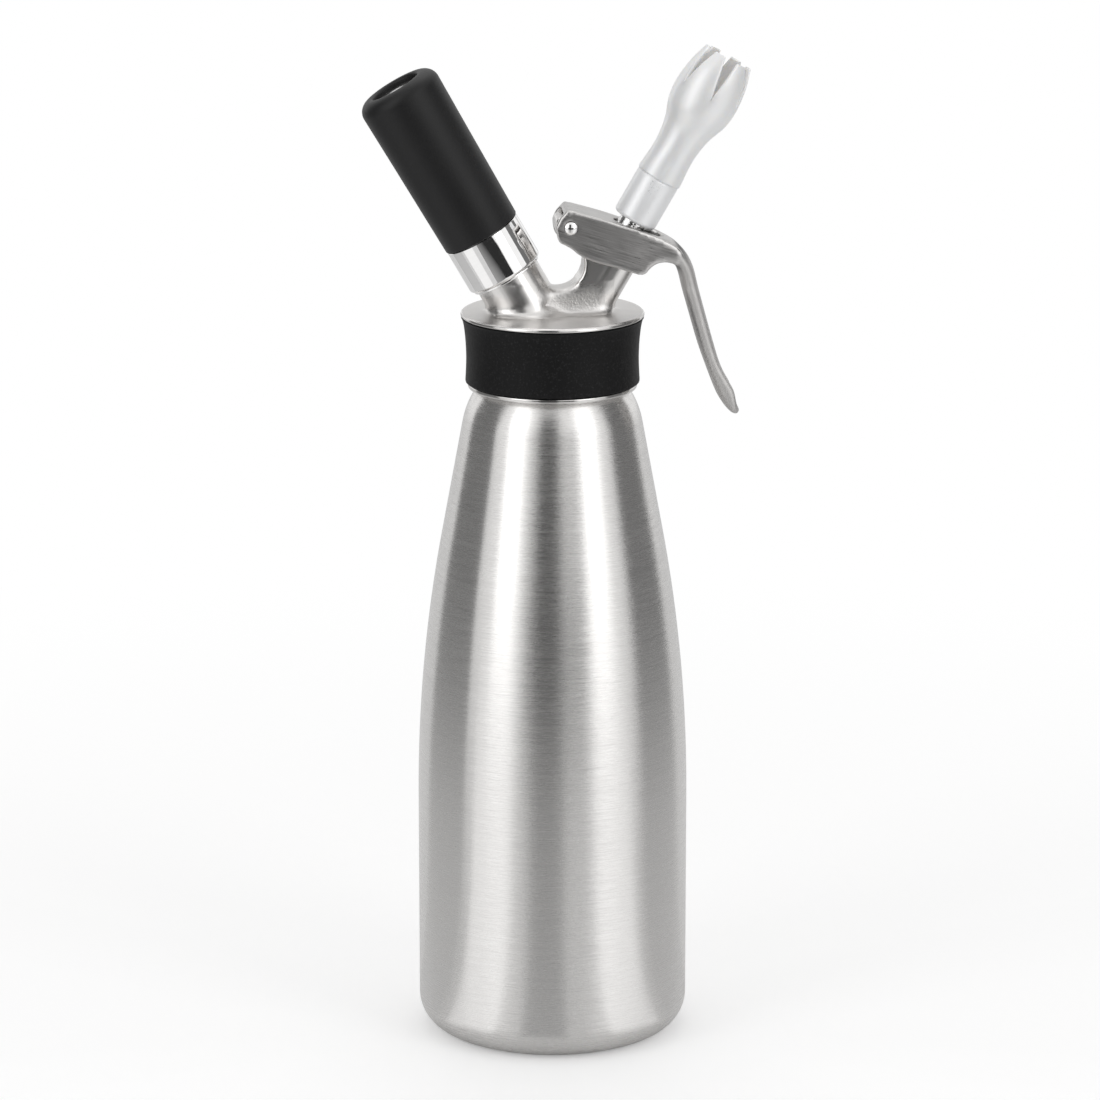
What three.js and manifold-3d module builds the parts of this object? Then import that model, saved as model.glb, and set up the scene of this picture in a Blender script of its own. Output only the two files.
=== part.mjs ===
// Whipped cream dispenser of one litre: a stainless bottle, a cast head that screws on its neck,
// a holder that presses a gas charger onto a piercing pin, and a lever that opens the outlet valve
// under a plastic decorating nozzle.
// Lengths are millimetres, +Z is up and the origin is the centre of the bottle's foot.
// The charger holder leans towards -X, the nozzle and the lever's tail lean towards +X.
// Both leaning axes start where they cross the upright axis of the bottle, and every height
// along them is counted from that crossing.

import * as THREE from "three";
import { mergeVertices } from "three/addons/utils/BufferGeometryUtils.js";
import Module from "manifold-3d";

const wasm = await Module();
wasm.setup();

// Clearances that all pieces share
const gap = 0.3;
const hingeGap = 0.15;
const cheekSideGap = 0.25;
const threadGap = 0.35;
const overrun = 3;
const weldDistance = 0.001;

// Bottle: foot, straight body, long tapering arc, cone, rounded shoulder, threaded neck
const bottleRadius = 50;
const bottleWall = 1.3;
const footCorner = 12.5;
const footRecessRadius = 31;
const footRecessDepth = 2.5;
const bottleStraight = 90;
const taperArc = 550;
const coneAngle = 10.5;
const coneTop = 232;
const shoulderArc = 32;
const shoulderLean = 33;
const neckRadius = 26.8;
const neckWall = 2.2;
const neckRootRise = 1.5;
const neckHeight = 19.6;
const neckChamfer = 0.8;

// Head: disc, skirt round the neck, polished ring at its foot, silicone band between them
const gasketThickness = 2.6;
const gasketWidth = 4.4;
const discThickness = 5.2;
const rimThickness = 1.5;
const rimEdge = 0.6;
const rimOverhang = 0.1;
const skirtClearance = 1.3;
const skirtWall = 2.1;
const neckThreadDepth = 0.8;
const ringHeight = 1.9;
const ringStep = 1.3;
const ringEdge = 0.4;
const bandWall = 2;
const bandFlare = 1.5;

// The two leaning axes: how deep below the disc they cross, as shares of the disc's radius
const axisTilt = 30;
const chargerCrossingShare = 0.4613;
const outletCrossingShare = 0.5387;

// Charger port on the head, with the piercing parts inside
const portRadius = 12.25;
const portHeightShare = 0.7765;
const portChamfer = 0.8;
const portBore = 4.8;
const rootFillet = 3.2;
const gasHole = 1.5;
const checkPocketRadius = 3.4;
const checkPocketDepth = 2.6;
const checkDiscThickness = 1.2;
const piercingBodyThickness = 3.2;
const pinRadius = 1;
const pinPointLength = 1.6;
const pinReach = 2;
const chargerSealThickness = 2.5;
const chargerSealBore = 2;

// Gas charger: neck, round shoulder, body, domed end
const chargerRadius = 9;
const chargerLength = 65.5;
const chargerWall = 1.2;
const chargerNeckRadius = 4.2;
const chargerNeckLength = 9.2;
const chargerNeckInPort = 9.4;
const chargerShoulder = 7.5;
const chargerMouth = 3.2;
const chargerMouthDepth = 1.5;
const capThickness = 1;
const capHole = 1.4;

// Charger holder: chrome sleeve, soft grip, bright disc in its end
const sleeveWall = 1.8;
const sleeveThreadCover = 10.5;
const sleeveEdge = 0.9;
const chromeLength = 18.2;
const holderTubeWall = 3.2;
const cavityClearance = 0.4;
const gripLength = 62.6;
const gripWall = 1.75;
const gripTaper = 0.95;
const gripCorner = 5;
const gripLip = 2.7;
const gripOpening = 9.1;
const endDiscThickness = 1.2;
const endDiscSink = 0.6;

// Lever: its pivot and channel as shares of the disc's radius, its tail as shares of the channel's length
const pivotReachShare = 0.1786;
const pivotRiseShare = 0.9643;
const leverHeadShare = 1.3095;
const leverDepthShare = 0.5357;
const channelShare = 0.6773;
const tailReachShare = 1.4545;
const tailDropShare = 1.5568;
const leverWidth = 20;
const cheekThickness = 2.55;
const plateThickness = 2.5;
const leverEdge = 0.7;
const slotHalfWidth = 5.6;
const slotBack = 6.5;
const slotFront = 12.1;
const tailHalfWidth = 8;
const tailHalfThickness = 2.8;
const leverPinRadius = 1.75;
const leverPinHead = 2.3;
const leverPinDome = 1;
const earRadius = 5.6;
const earTop = 3.4;

// Web that carries the ear, with the round saddle cut between the two bosses
const saddleRadius = 9.6;
const saddleReach = 1.5;
const saddleFloorRise = 8.8;
const webEdge = 0.9;
const webTopDrop = 4.9;

// Outlet boss and valve
const bossOffset = 2.3;
const seatBossWall = 4.4;
const seatDrop = 3.7;
const guideRise = 12.5;
const stemRadius = 3;
const stemBore = 1.5;
const stemBoreStart = 2.8;
const stemPort = 1.2;
const stemFootThickness = 2;
const stemPassage = 0.6;
const valveSealThickness = 2.3;
const valveTravel = 1.9;
const springBore = 5.5;
const guideLength = 5.5;
const oRingThickness = 2;
const springWire = 1;
const springTurns = 6;
const flangeThickness = 2;
const adapterRadius = 5;
const adapterPost = 17.1;
const adapterBore = 2;
const stemInAdapter = 7;

// Nozzle: collar with its metal thread insert, and the tulip tip
const collarLift = 5.9;
const collarLength = 17.7;
const collarRadius = 8.2;
const collarWall = 1.2;
const collarEdge = 1.4;
const ledgeThickness = 0.9;
const nozzleSealThickness = 1.5;
const tulipRadius = 12.35;
const tulipLength = 50.7;
const tulipWall = 1.5;
const tulipBore = 4.6;
const spigotWall = 2;
const petalSlots = 6;
const petalSlotDepth = 15.5;
const petalSlotWidth = 5.3;
const petalSlotTurn = 1;

// Faces round each kind of turned piece
const bottleSides = 60;
const holderSides = 40;
const nozzleSides = 36;
const smallSides = 20;

// Silicone band: height share, outward share of the flare
const bandShares = [[0, 0], [0.2, -0.18], [0.4, -0.27], [0.62, -0.08], [0.82, 0.42], [1, 1]];

// Lever seen from the side: shares of leverHead and leverDepth from the pivot
const leverTopShares = [
  [-0.025, 0.372], [0.248, 0.183], [0.411, 0.05], [0.568, -0.08], [0.718, -0.206], [0.857, -0.378], [0.943, -0.55],
];
const leverBottomShares = [
  [0.861, -0.817], [0.832, -0.765], [0.752, -0.755], [0.691, -0.805], [0.63, -0.95], [0.591, -0.994],
  [0.502, -0.933], [0.375, -0.833], [0.186, -0.7], [0.07, -0.561], [0.007, -0.433], [-0.043, -0.361],
  [-0.102, -0.261], [-0.121, 0.02], [-0.09, 0.2],
];

// Tail: reach share and drop share from the pivot, its half width and half thickness as shares, and its dish
const tailShares = [
  [0.477, -0.089, 1.13, 0.9], [0.559, -0.137, 1.15, 1.14], [0.625, -0.184, 1.14, 1.06], [0.664, -0.248, 1.06, 1.03],
  [0.694, -0.359, 1, 1.02], [0.742, -0.521, 1, 1], [0.783, -0.655, 1.03, 0.98], [0.825, -0.766, 1.08, 0.97, 0.15],
  [0.874, -0.857, 1.15, 1.25, 0.55], [0.907, -0.913, 1.2, 1.4, 0.75], [0.926, -0.966, 1.2, 1.1, 0.6],
  [0.943, -1.004, 1.1, 0.74, 0.25], [0.96, -1.024, 0.85, 0.5], [0.974, -1.033, 0.45, 0.32],
];

// Tulip outside: length share, radius share
const tulipShares = [
  [0, 0.68], [0.09, 0.664], [0.17, 0.637], [0.26, 0.643], [0.35, 0.69], [0.42, 0.757], [0.48, 0.85],
  [0.54, 0.937], [0.62, 0.992], [0.7, 1], [0.79, 0.964], [0.87, 0.907], [0.94, 0.822], [1, 0.752],
];

// Heights that follow from the values above
const degrees = Math.PI / 180;
const tilt = axisTilt * degrees;
const shoulderEnd = bottleLine(0, 4).at(-1);
const neckBase = shoulderEnd[1] + neckRootRise;
const bottleTop = neckBase + neckHeight;
const headCeiling = bottleTop + gasketThickness + 2 * gap;
const discTop = headCeiling + discThickness;
const skirtBottom = shoulderEnd[1] + skirtClearance;
const skirtInner = neckRadius + neckThreadDepth;
const bandSeat = skirtInner + skirtWall;
const ringTop = skirtBottom + ringHeight;
const bandBottom = ringTop + gap;
const rimBottom = discTop - rimThickness;
const bandTop = rimBottom - gap;
const discRadius = bandSeat + gap + bandWall + bandFlare + rimOverhang;
const chargerCrossing = discTop - chargerCrossingShare * discRadius;
const outletCrossing = discTop - outletCrossingShare * discRadius;

// Charger axis
const portRise = (discTop - chargerCrossing) / Math.cos(tilt) + portHeightShare * discRadius;
const checkPocketFloor = portRise - chargerNeckInPort - chargerSealThickness - piercingBodyThickness
  - 3 * gap - checkPocketDepth;
const portFloor = checkPocketFloor + checkPocketDepth;
const piercingBodyBottom = portFloor + gap;
const piercingBodyTop = piercingBodyBottom + piercingBodyThickness;
const chargerSealBottom = piercingBodyTop + gap;
const chargerTip = portRise - chargerNeckInPort;
const chargerEnd = chargerTip + chargerLength;
const sleeveBottom = portRise - sleeveThreadCover;
const sleeveBore = portRadius + threadGap;
const sleeveRadius = sleeveBore + sleeveWall;
const chromeTop = sleeveBottom + chromeLength;
const cavityRadius = chargerRadius + cavityClearance;
const tubeRadius = cavityRadius + holderTubeWall;
const gripTop = chromeTop + gap + gripLength;
const tubeTop = gripTop - gripLip - gap;
const gripInner = tubeRadius + gap;

// Outlet axis
const cheekInner = leverWidth / 2 - cheekThickness;
const webHalf = cheekInner - cheekSideGap;
const flangeRadius = cheekInner - 1.5 * gap;
const leverHead = leverHeadShare * discRadius;
const leverDepth = leverDepthShare * discRadius;
const tailReach = tailReachShare * leverHead;
const tailDrop = tailDropShare * leverHead;
const pivot = new THREE.Vector3(pivotReachShare * discRadius, 0, discTop + pivotRiseShare * discRadius);
const flangeTop = plateUndersideAt(-flangeRadius) - gap;
const flangeBottom = flangeTop - flangeThickness;
const bossTop = flangeBottom - valveTravel - 1.5 * gap;
const valveSeat = (headCeiling - outletCrossing) / Math.cos(tilt) - seatDrop;
const guideFloor = valveSeat + guideRise;
const oRingBottom = guideFloor + guideLength + 2 * gap;
const springBottom = oRingBottom + oRingThickness + gap;
const stemHole = stemRadius + gap;
const adapterTop = flangeTop + adapterPost;
const collarBottom = flangeTop + collarLift;
const collarTop = collarBottom + collarLength;
const collarBore = collarRadius - collarWall;
const ledgeBottom = adapterTop + nozzleSealThickness + 2 * gap;
const spigotBottom = ledgeBottom + ledgeThickness + gap;
const tulipBottom = collarTop + gap;
const tulipTop = tulipBottom + tulipLength;

// Closed solid of a three.js geometry
function solid(geometry) {
  const bare = new THREE.BufferGeometry();
  bare.setAttribute("position", geometry.getAttribute("position"));
  bare.setIndex(geometry.index);
  const merged = mergeVertices(bare, weldDistance);
  const kept = [];
  const index = merged.index.array;
  for (let i = 0; i < index.length; i += 3) {
    const [a, b, c] = [index[i], index[i + 1], index[i + 2]];
    if (a !== b && b !== c && c !== a) kept.push(a, b, c);
  }
  const triVerts = new Uint32Array(kept);
  const vertProperties = merged.getAttribute("position").array;
  return new wasm.Manifold(new wasm.Mesh({ numProp: 3, vertProperties, triVerts }));
}

// three.js geometry of a solid
function surface(body) {
  const { vertProperties, triVerts } = body.getMesh();
  const geometry = new THREE.BufferGeometry();
  geometry.setAttribute("position", new THREE.BufferAttribute(new Float32Array(vertProperties), 3));
  geometry.setIndex(new THREE.BufferAttribute(new Uint32Array(triVerts), 1));
  geometry.computeVertexNormals();
  return geometry;
}

// Points [radius, height] on an arc, angles in degrees from the outward direction
function arc(radius, height, arcRadius, from, to, steps) {
  return Array.from({ length: steps + 1 }, (_, i) => {
    const angle = (from + ((to - from) * i) / steps) * degrees;
    return [radius + arcRadius * Math.cos(angle), height + arcRadius * Math.sin(angle)];
  });
}

// Body of revolution about +Z from [radius, height] points, which end on the axis or close on themselves
function turned(points, count) {
  const twiceArea = points.reduce((sum, [r, z], i) => {
    const [nextR, nextZ] = points[(i + 1) % points.length];
    return sum + r * nextZ - nextR * z;
  }, 0);
  const profile = twiceArea > 0 ? [...points] : [...points].reverse();
  const open = profile[0][0] === 0 && profile.at(-1)[0] === 0;
  if (!open) profile.push(profile[0]);
  const geometry = new THREE.LatheGeometry(profile.map(([r, z]) => new THREE.Vector2(r, z)), count);
  return geometry.rotateX(Math.PI / 2);
}

function rod(radius, bottom, top, count = smallSides) {
  return turned([[0, bottom], [radius, bottom], [radius, top], [0, top]], count);
}

function ring(inner, outer, bottom, top, count = smallSides) {
  return turned([[inner, bottom], [outer, bottom], [outer, top], [inner, top]], count);
}

// Flat outline in the XZ plane, given as [x, z] points, thickened both ways along Y
function plate(points, thickness, edge = 0) {
  const shape = new THREE.Shape(points.map(([x, z]) => new THREE.Vector2(x, z)));
  const options = { depth: thickness - 2 * edge, bevelEnabled: edge > 0, bevelSegments: 2 };
  Object.assign(options, { bevelSize: edge, bevelThickness: edge, bevelOffset: -edge });
  const geometry = new THREE.ExtrudeGeometry(shape, options);
  return geometry.translate(0, 0, edge - thickness / 2).rotateX(Math.PI / 2);
}

// Skin over rings of equally many points, closed with a flat cap at each end
function lofted(rings) {
  const count = rings[0].length;
  const position = rings.flat().flatMap((p) => [p.x, p.y, p.z]);
  const index = [];
  for (let j = 0; j < rings.length - 1; j += 1) {
    for (let i = 0; i < count; i += 1) {
      const next = (i + 1) % count;
      const [a, b] = [j * count + i, j * count + next];
      index.push(a, b, b + count, a, b + count, a + count);
    }
  }
  const last = (rings.length - 1) * count;
  for (let i = 1; i < count - 1; i += 1) {
    index.push(0, i + 1, i);
    index.push(last, last + i, last + i + 1);
  }
  const geometry = new THREE.BufferGeometry();
  geometry.setAttribute("position", new THREE.Float32BufferAttribute(position, 3));
  geometry.setIndex(index);
  return geometry;
}

// Moves geometry that is drawn upright onto a leaning axis
function leaned(geometry, crossing, lean) {
  return geometry.rotateY(lean).translate(0, 0, crossing);
}

// Bottle wall from the foot's flat to the shoulder's end, moved inwards by inset
function bottleLine(inset, steps) {
  const lean = coneAngle * Math.PI / 180;
  const along = [-Math.sin(lean), Math.cos(lean)];
  const outward = [Math.cos(lean), Math.sin(lean)];
  const corner = arc(bottleRadius - footCorner, footCorner, footCorner - inset, -90, 0, steps);
  const taper = arc(bottleRadius - taperArc, bottleStraight, taperArc - inset, 0, coneAngle, steps + 1);
  const taperEnd = bottleStraight + taperArc * outward[1];
  const run = (coneTop - taperEnd) / along[1];
  const radiusThere = bottleRadius - taperArc * (1 - outward[0]) + run * along[0];
  const centre = [radiusThere - shoulderArc * outward[0], coneTop - shoulderArc * outward[1]];
  const shoulder = arc(centre[0], centre[1], shoulderArc - inset, coneAngle, shoulderLean, steps);
  return [...corner, ...taper, ...shoulder];
}

// Side outline of the lever head in X and Z
function leverPoint([alongShare, upShare]) {
  return [pivot.x + alongShare * leverHead, pivot.z + upShare * leverDepth];
}

// Height on the outlet axis at which the lever's plate has its underside, at a distance across that axis
function plateUndersideAt(across) {
  const seen = leverTopShares.map(leverPoint).map(([x, z]) => {
    const rise = z - plateThickness - outletCrossing;
    return [x * Math.cos(tilt) - rise * Math.sin(tilt), x * Math.sin(tilt) + rise * Math.cos(tilt)];
  });
  const after = seen.findIndex(([u]) => u > across);
  const [[u0, s0], [u1, s1]] = [seen[after - 1], seen[after]];
  return s0 + ((s1 - s0) * (across - u0)) / (u1 - u0);
}

// Bottle
function bottle() {
  const outer = bottleLine(0, 4);
  const inner = bottleLine(bottleWall, 2).reverse();
  const floor = footRecessDepth + bottleWall;
  return turned([
    [0, footRecessDepth],
    [footRecessRadius, footRecessDepth],
    [footRecessRadius + footRecessDepth, 0],
    ...outer,
    [neckRadius, neckBase],
    [neckRadius, bottleTop - neckChamfer],
    [neckRadius - neckChamfer, bottleTop],
    [neckRadius - neckWall, bottleTop],
    [neckRadius - neckWall, neckBase],
    ...inner,
    [footRecessRadius + footRecessDepth, bottleWall],
    [footRecessRadius, floor],
    [0, floor],
  ], bottleSides);
}

function headGasket() {
  const outer = neckRadius;
  return ring(outer - gasketWidth, outer, bottleTop + gap, headCeiling - gap, bottleSides);
}

function siliconeBand() {
  const inner = bandSeat + gap;
  const height = bandTop - bandBottom;
  const outside = bandShares.map(([up, out]) => [inner + bandWall + out * bandFlare, bandBottom + up * height]);
  return turned([[inner, bandBottom], ...outside, [inner, bandTop]], bottleSides);
}

// Ellipse-like ring where a leaning round or long boss of half width r meets the level z
function bossLevel(crossing, lean, r, stretch, z, grow) {
  const along = Math.sin(lean) / Math.cos(lean);
  const middle = (z - crossing) * along;
  const points = [];
  for (let i = 0; i < holderSides; i += 1) {
    const angle = (2 * Math.PI * i) / holderSides;
    const push = Math.cos(angle) > 0 ? stretch : 0;
    const x = ((r + grow) * Math.cos(angle) + push) / Math.cos(lean);
    points.push(new THREE.Vector3(middle + x, (r + grow) * Math.sin(angle), z));
  }
  return points;
}

// Fillet between a leaning boss and the disc
function bossRoot(crossing, lean, r, stretch) {
  const steps = 3;
  const levels = [bossLevel(crossing, lean, r, stretch, discTop - rimThickness, rootFillet)];
  for (let i = 0; i <= steps; i += 1) {
    const angle = (i / steps) * (Math.PI / 2);
    const z = discTop + rootFillet * (1 - Math.cos(angle));
    levels.push(bossLevel(crossing, lean, r, stretch, z, rootFillet * (1 - Math.sin(angle))));
  }
  return lofted(levels);
}

// Outlet boss: round about the valve, drawn out on the lever's side
function outletBoss() {
  const bottom = (discTop - outletCrossing) / Math.cos(tilt) - rimThickness;
  const levels = [bottom, bossTop].map((s) => {
    const points = [];
    for (let i = 0; i < holderSides; i += 1) {
      const angle = (2 * Math.PI * i) / holderSides;
      const push = Math.cos(angle) > 0 ? bossOffset : 0;
      points.push(new THREE.Vector3(webHalf * Math.cos(angle) + push, webHalf * Math.sin(angle), s));
    }
    return points;
  });
  return leaned(lofted(levels), outletCrossing, tilt);
}

// Web between the bosses with the saddle cut and the hinge ear
function web() {
  const saddleCentre = [saddleReach, discTop + saddleFloorRise + saddleRadius];
  const saddle = arc(saddleCentre[0], saddleCentre[1], saddleRadius, -90, 32, 8);
  const earAngle = Math.asin(earTop / earRadius) / degrees;
  const ear = arc(pivot.x, pivot.z, earRadius, 235, 180 - earAngle, 6);
  const inBoss = ([across, s]) => [
    across * Math.cos(tilt) + s * Math.sin(tilt),
    outletCrossing - across * Math.sin(tilt) + s * Math.cos(tilt),
  ];
  return plate([
    [-portRadius / 2, rimBottom],
    [-portRadius / 2, discTop + saddleFloorRise],
    ...saddle,
    ...ear,
    [pivot.x, pivot.z + earTop],
    [pivot.x + saddleRadius, pivot.z + earTop - webTopDrop],
    inBoss([-webHalf + webEdge, bossTop - webEdge]),
    inBoss([0, bossTop - webEdge - gap]),
    [inBoss([0, (rimBottom - outletCrossing) / Math.cos(tilt)])[0], rimBottom],
  ], 2 * webHalf, webEdge);
}

function headCasting() {
  const ringRadius = bandSeat + ringStep;
  const cup = turned([
    [0, headCeiling],
    [skirtInner, headCeiling],
    [skirtInner, skirtBottom],
    [ringRadius - ringEdge, skirtBottom],
    [ringRadius, skirtBottom + ringEdge],
    [ringRadius, ringTop],
    [bandSeat, ringTop],
    [bandSeat, rimBottom],
    [discRadius - rimEdge, rimBottom],
    [discRadius, rimBottom + rimEdge],
    [discRadius, discTop - rimEdge],
    [discRadius - rimEdge, discTop],
    [0, discTop],
  ], bottleSides);
  const portFoot = (headCeiling - chargerCrossing) / Math.cos(tilt) + portRadius * Math.tan(tilt);
  const port = turned([
    [0, portFoot],
    [portRadius, portFoot],
    [portRadius, portRise - portChamfer],
    [portRadius - portChamfer, portRise],
    [0, portRise],
  ], holderSides);
  const seatBoss = rod(stemHole + stemPassage + seatBossWall, valveSeat, valveSeat + seatDrop + rimThickness);
  const added = [
    leaned(port, chargerCrossing, -tilt),
    bossRoot(chargerCrossing, -tilt, portRadius, 0),
    bossRoot(outletCrossing, tilt, webHalf, bossOffset),
    outletBoss(),
    web(),
    leaned(seatBoss, outletCrossing, tilt),
  ];
  const chargerCuts = turned([
    [0, 0],
    [gasHole, 0],
    [gasHole, checkPocketFloor],
    [checkPocketRadius, checkPocketFloor],
    [checkPocketRadius, portFloor],
    [portBore, portFloor],
    [portBore, portRise + overrun],
    [0, portRise + overrun],
  ], smallSides);
  const outletCuts = turned([
    [0, 0],
    [stemHole + stemPassage, 0],
    [stemHole + stemPassage, guideFloor],
    [springBore, guideFloor],
    [springBore, bossTop + overrun],
    [0, bossTop + overrun],
  ], smallSides);
  const pinHole = rod(leverPinRadius + hingeGap, -leverWidth, leverWidth).rotateX(Math.PI / 2);
  const removed = [
    leaned(chargerCuts, chargerCrossing, -tilt),
    leaned(outletCuts, outletCrossing, tilt),
    pinHole.translate(pivot.x, pivot.y, pivot.z),
  ];
  const body = added.reduce((sum, geometry) => sum.add(solid(geometry)), solid(cup));
  return surface(removed.reduce((rest, geometry) => rest.subtract(solid(geometry)), body));
}

// Parts on the charger axis, drawn upright
function checkValveDisc() {
  const top = portFloor;
  return rod(checkPocketRadius - 2 * gap, top - checkDiscThickness, top);
}

function piercingBody() {
  return ring(pinRadius + gap, portBore - gap, piercingBodyBottom, piercingBodyTop);
}

function piercingPin() {
  const tip = chargerTip + pinReach;
  return turned([
    [0, piercingBodyBottom],
    [pinRadius, piercingBodyBottom],
    [pinRadius, tip - pinPointLength],
    [0, tip],
  ], smallSides);
}

function chargerSeal() {
  return ring(chargerSealBore, portBore - gap, chargerSealBottom, chargerSealBottom + chargerSealThickness);
}

function gasCharger() {
  const shoulderBottom = chargerTip + chargerNeckLength;
  const shoulderTop = shoulderBottom + chargerShoulder;
  const domeStart = chargerEnd - chargerRadius;
  const inside = chargerRadius - chargerWall;
  const mouthFloor = chargerTip + chargerMouthDepth;
  const neckBore = chargerNeckRadius - 1.5 * chargerWall;
  const swell = (chargerNeckRadius + chargerRadius) / 2;
  return turned([
    [neckBore, mouthFloor],
    [chargerMouth, mouthFloor],
    [chargerMouth, chargerTip],
    [chargerNeckRadius, chargerTip],
    [chargerNeckRadius, shoulderBottom],
    [swell, shoulderBottom + chargerShoulder / 3],
    [chargerRadius, shoulderTop],
    ...arc(0, domeStart, chargerRadius, 0, 90, 4).slice(0, -1),
    [0, chargerEnd],
    [0, chargerEnd - chargerWall],
    ...arc(0, domeStart, inside, 0, 90, 3).reverse().slice(1),
    [inside, shoulderTop],
    [swell - chargerWall, shoulderBottom + chargerShoulder / 3 + chargerWall],
    [neckBore, shoulderBottom + chargerWall],
  ], 24);
}

function chargerCap() {
  const bottom = chargerTip + gap / 2;
  return ring(capHole, chargerMouth - gap, bottom, bottom + capThickness);
}

function holderSleeve() {
  const cavityTop = chargerEnd + 2 * gap;
  const threadTop = portRise + 5 * gap;
  const recess = gripOpening - gap;
  return turned([
    [sleeveBore, sleeveBottom],
    [sleeveRadius - sleeveEdge, sleeveBottom],
    [sleeveRadius, sleeveBottom + 2 * sleeveEdge],
    [sleeveRadius, chromeTop],
    [tubeRadius, chromeTop],
    [tubeRadius, tubeTop],
    [recess, tubeTop],
    [recess, tubeTop - endDiscSink],
    [0, tubeTop - endDiscSink],
    [0, cavityTop],
    [cavityRadius, cavityTop],
    [cavityRadius, threadTop],
    [sleeveBore, threadTop],
  ], holderSides);
}

function holderGrip() {
  const bottom = chromeTop + gap;
  const outerBottom = gripInner + gripWall;
  const outerTop = outerBottom + gripTaper;
  const corner = arc(outerTop - gripCorner, gripTop - gripCorner, gripCorner, 0, 90, 5);
  const lip = gripLip / 3;
  return turned([
    [gripInner, bottom],
    [outerBottom - gap, bottom],
    [outerBottom, bottom + gap],
    ...corner,
    [gripOpening + lip, gripTop],
    [gripOpening, gripTop - lip],
    [gripOpening, gripTop - gripLip],
    [gripInner, gripTop - gripLip],
  ], holderSides);
}

function holderEndDisc() {
  const bottom = tubeTop - endDiscSink + gap;
  return rod(gripOpening - 2 * gap, bottom, bottom + endDiscThickness, holderSides);
}

// Parts on the outlet axis, drawn upright
function valveStem() {
  const footTop = valveSeat - gap - valveSealThickness - gap;
  const top = flangeTop + stemInAdapter;
  const rest = turned([
    [0, footTop - stemFootThickness],
    [springBore - gap, footTop - stemFootThickness],
    [springBore - gap, footTop],
    [stemRadius, footTop],
    [stemRadius, top],
    [stemBore, top],
    [stemBore, valveSeat + stemBoreStart],
    [0, valveSeat + stemBoreStart],
  ], smallSides);
  const port = rod(stemPort, -springBore, springBore, 12).rotateY(Math.PI / 2);
  port.translate(0, 0, valveSeat + stemBoreStart + 2 * stemPort);
  return surface(solid(rest).subtract(solid(port)));
}

function valveSeal() {
  return ring(stemHole, springBore, valveSeat - gap - valveSealThickness, valveSeat - gap);
}

function valveGuide() {
  return ring(stemHole, springBore - gap, guideFloor + gap, guideFloor + gap + guideLength);
}

function stemORing() {
  const half = (springBore - gap - stemHole) / 2;
  const middle = stemHole + half;
  const height = oRingBottom + oRingThickness / 2;
  const section = Array.from({ length: 8 }, (_, i) => {
    const angle = (i + 0.5) * (Math.PI / 4);
    return [middle + half * Math.cos(angle), height + (oRingThickness / 2) * Math.sin(angle)];
  });
  return turned(section, smallSides);
}

// Coil spring as one unbroken wire
function valveSpring() {
  const middle = (stemRadius + springBore) / 2;
  const low = springBottom + springWire / 2;
  const high = flangeBottom - gap - springWire / 2;
  const stepsPerTurn = 10;
  const wireSides = 5;
  const count = springTurns * stepsPerTurn;
  const pitch = (high - low) / springTurns;
  const lean = Math.atan2(pitch, 2 * Math.PI * middle);
  const rings = [];
  for (let j = 0; j <= count; j += 1) {
    const turn = (2 * Math.PI * j) / stepsPerTurn;
    const centre = new THREE.Vector3(middle * Math.cos(turn), middle * Math.sin(turn), low + (pitch * j) / stepsPerTurn);
    const out = new THREE.Vector3(Math.cos(turn), Math.sin(turn), 0);
    const along = new THREE.Vector3(-Math.sin(turn) * Math.cos(lean), Math.cos(turn) * Math.cos(lean), Math.sin(lean));
    const up = new THREE.Vector3().crossVectors(out, along);
    rings.push(Array.from({ length: wireSides }, (_, i) => {
      const angle = (-2 * Math.PI * i) / wireSides;
      return centre.clone()
        .addScaledVector(out, (springWire / 2) * Math.cos(angle))
        .addScaledVector(up, (springWire / 2) * Math.sin(angle));
    }));
  }
  return lofted(rings);
}

function valveAdapter() {
  const stemRoom = flangeTop + stemInAdapter + gap;
  return turned([
    [stemHole, flangeBottom],
    [flangeRadius, flangeBottom],
    [flangeRadius, flangeTop],
    [adapterRadius, flangeTop],
    [adapterRadius, adapterTop - gap],
    [adapterRadius - gap, adapterTop],
    [adapterBore, adapterTop],
    [adapterBore, stemRoom],
    [stemHole, stemRoom],
  ], 24);
}

function nozzleInsert() {
  const inner = adapterRadius + gap;
  return ring(inner, collarBore - gap, collarBottom + collarEdge / 2, adapterTop, nozzleSides);
}

function nozzleSeal() {
  return ring(adapterBore + gap, collarBore - gap, adapterTop + gap, adapterTop + gap + nozzleSealThickness);
}

function nozzleCollar() {
  const spigotBore = tulipBore + spigotWall + gap;
  return turned([
    [collarBore, collarBottom],
    ...arc(collarRadius - collarEdge, collarBottom + collarEdge, collarEdge, -80, 0, 3),
    [collarRadius, collarTop],
    [spigotBore, collarTop],
    [spigotBore, ledgeBottom + ledgeThickness],
    [adapterRadius, ledgeBottom + ledgeThickness],
    [adapterRadius, ledgeBottom],
    [collarBore, ledgeBottom],
  ], nozzleSides);
}

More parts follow.
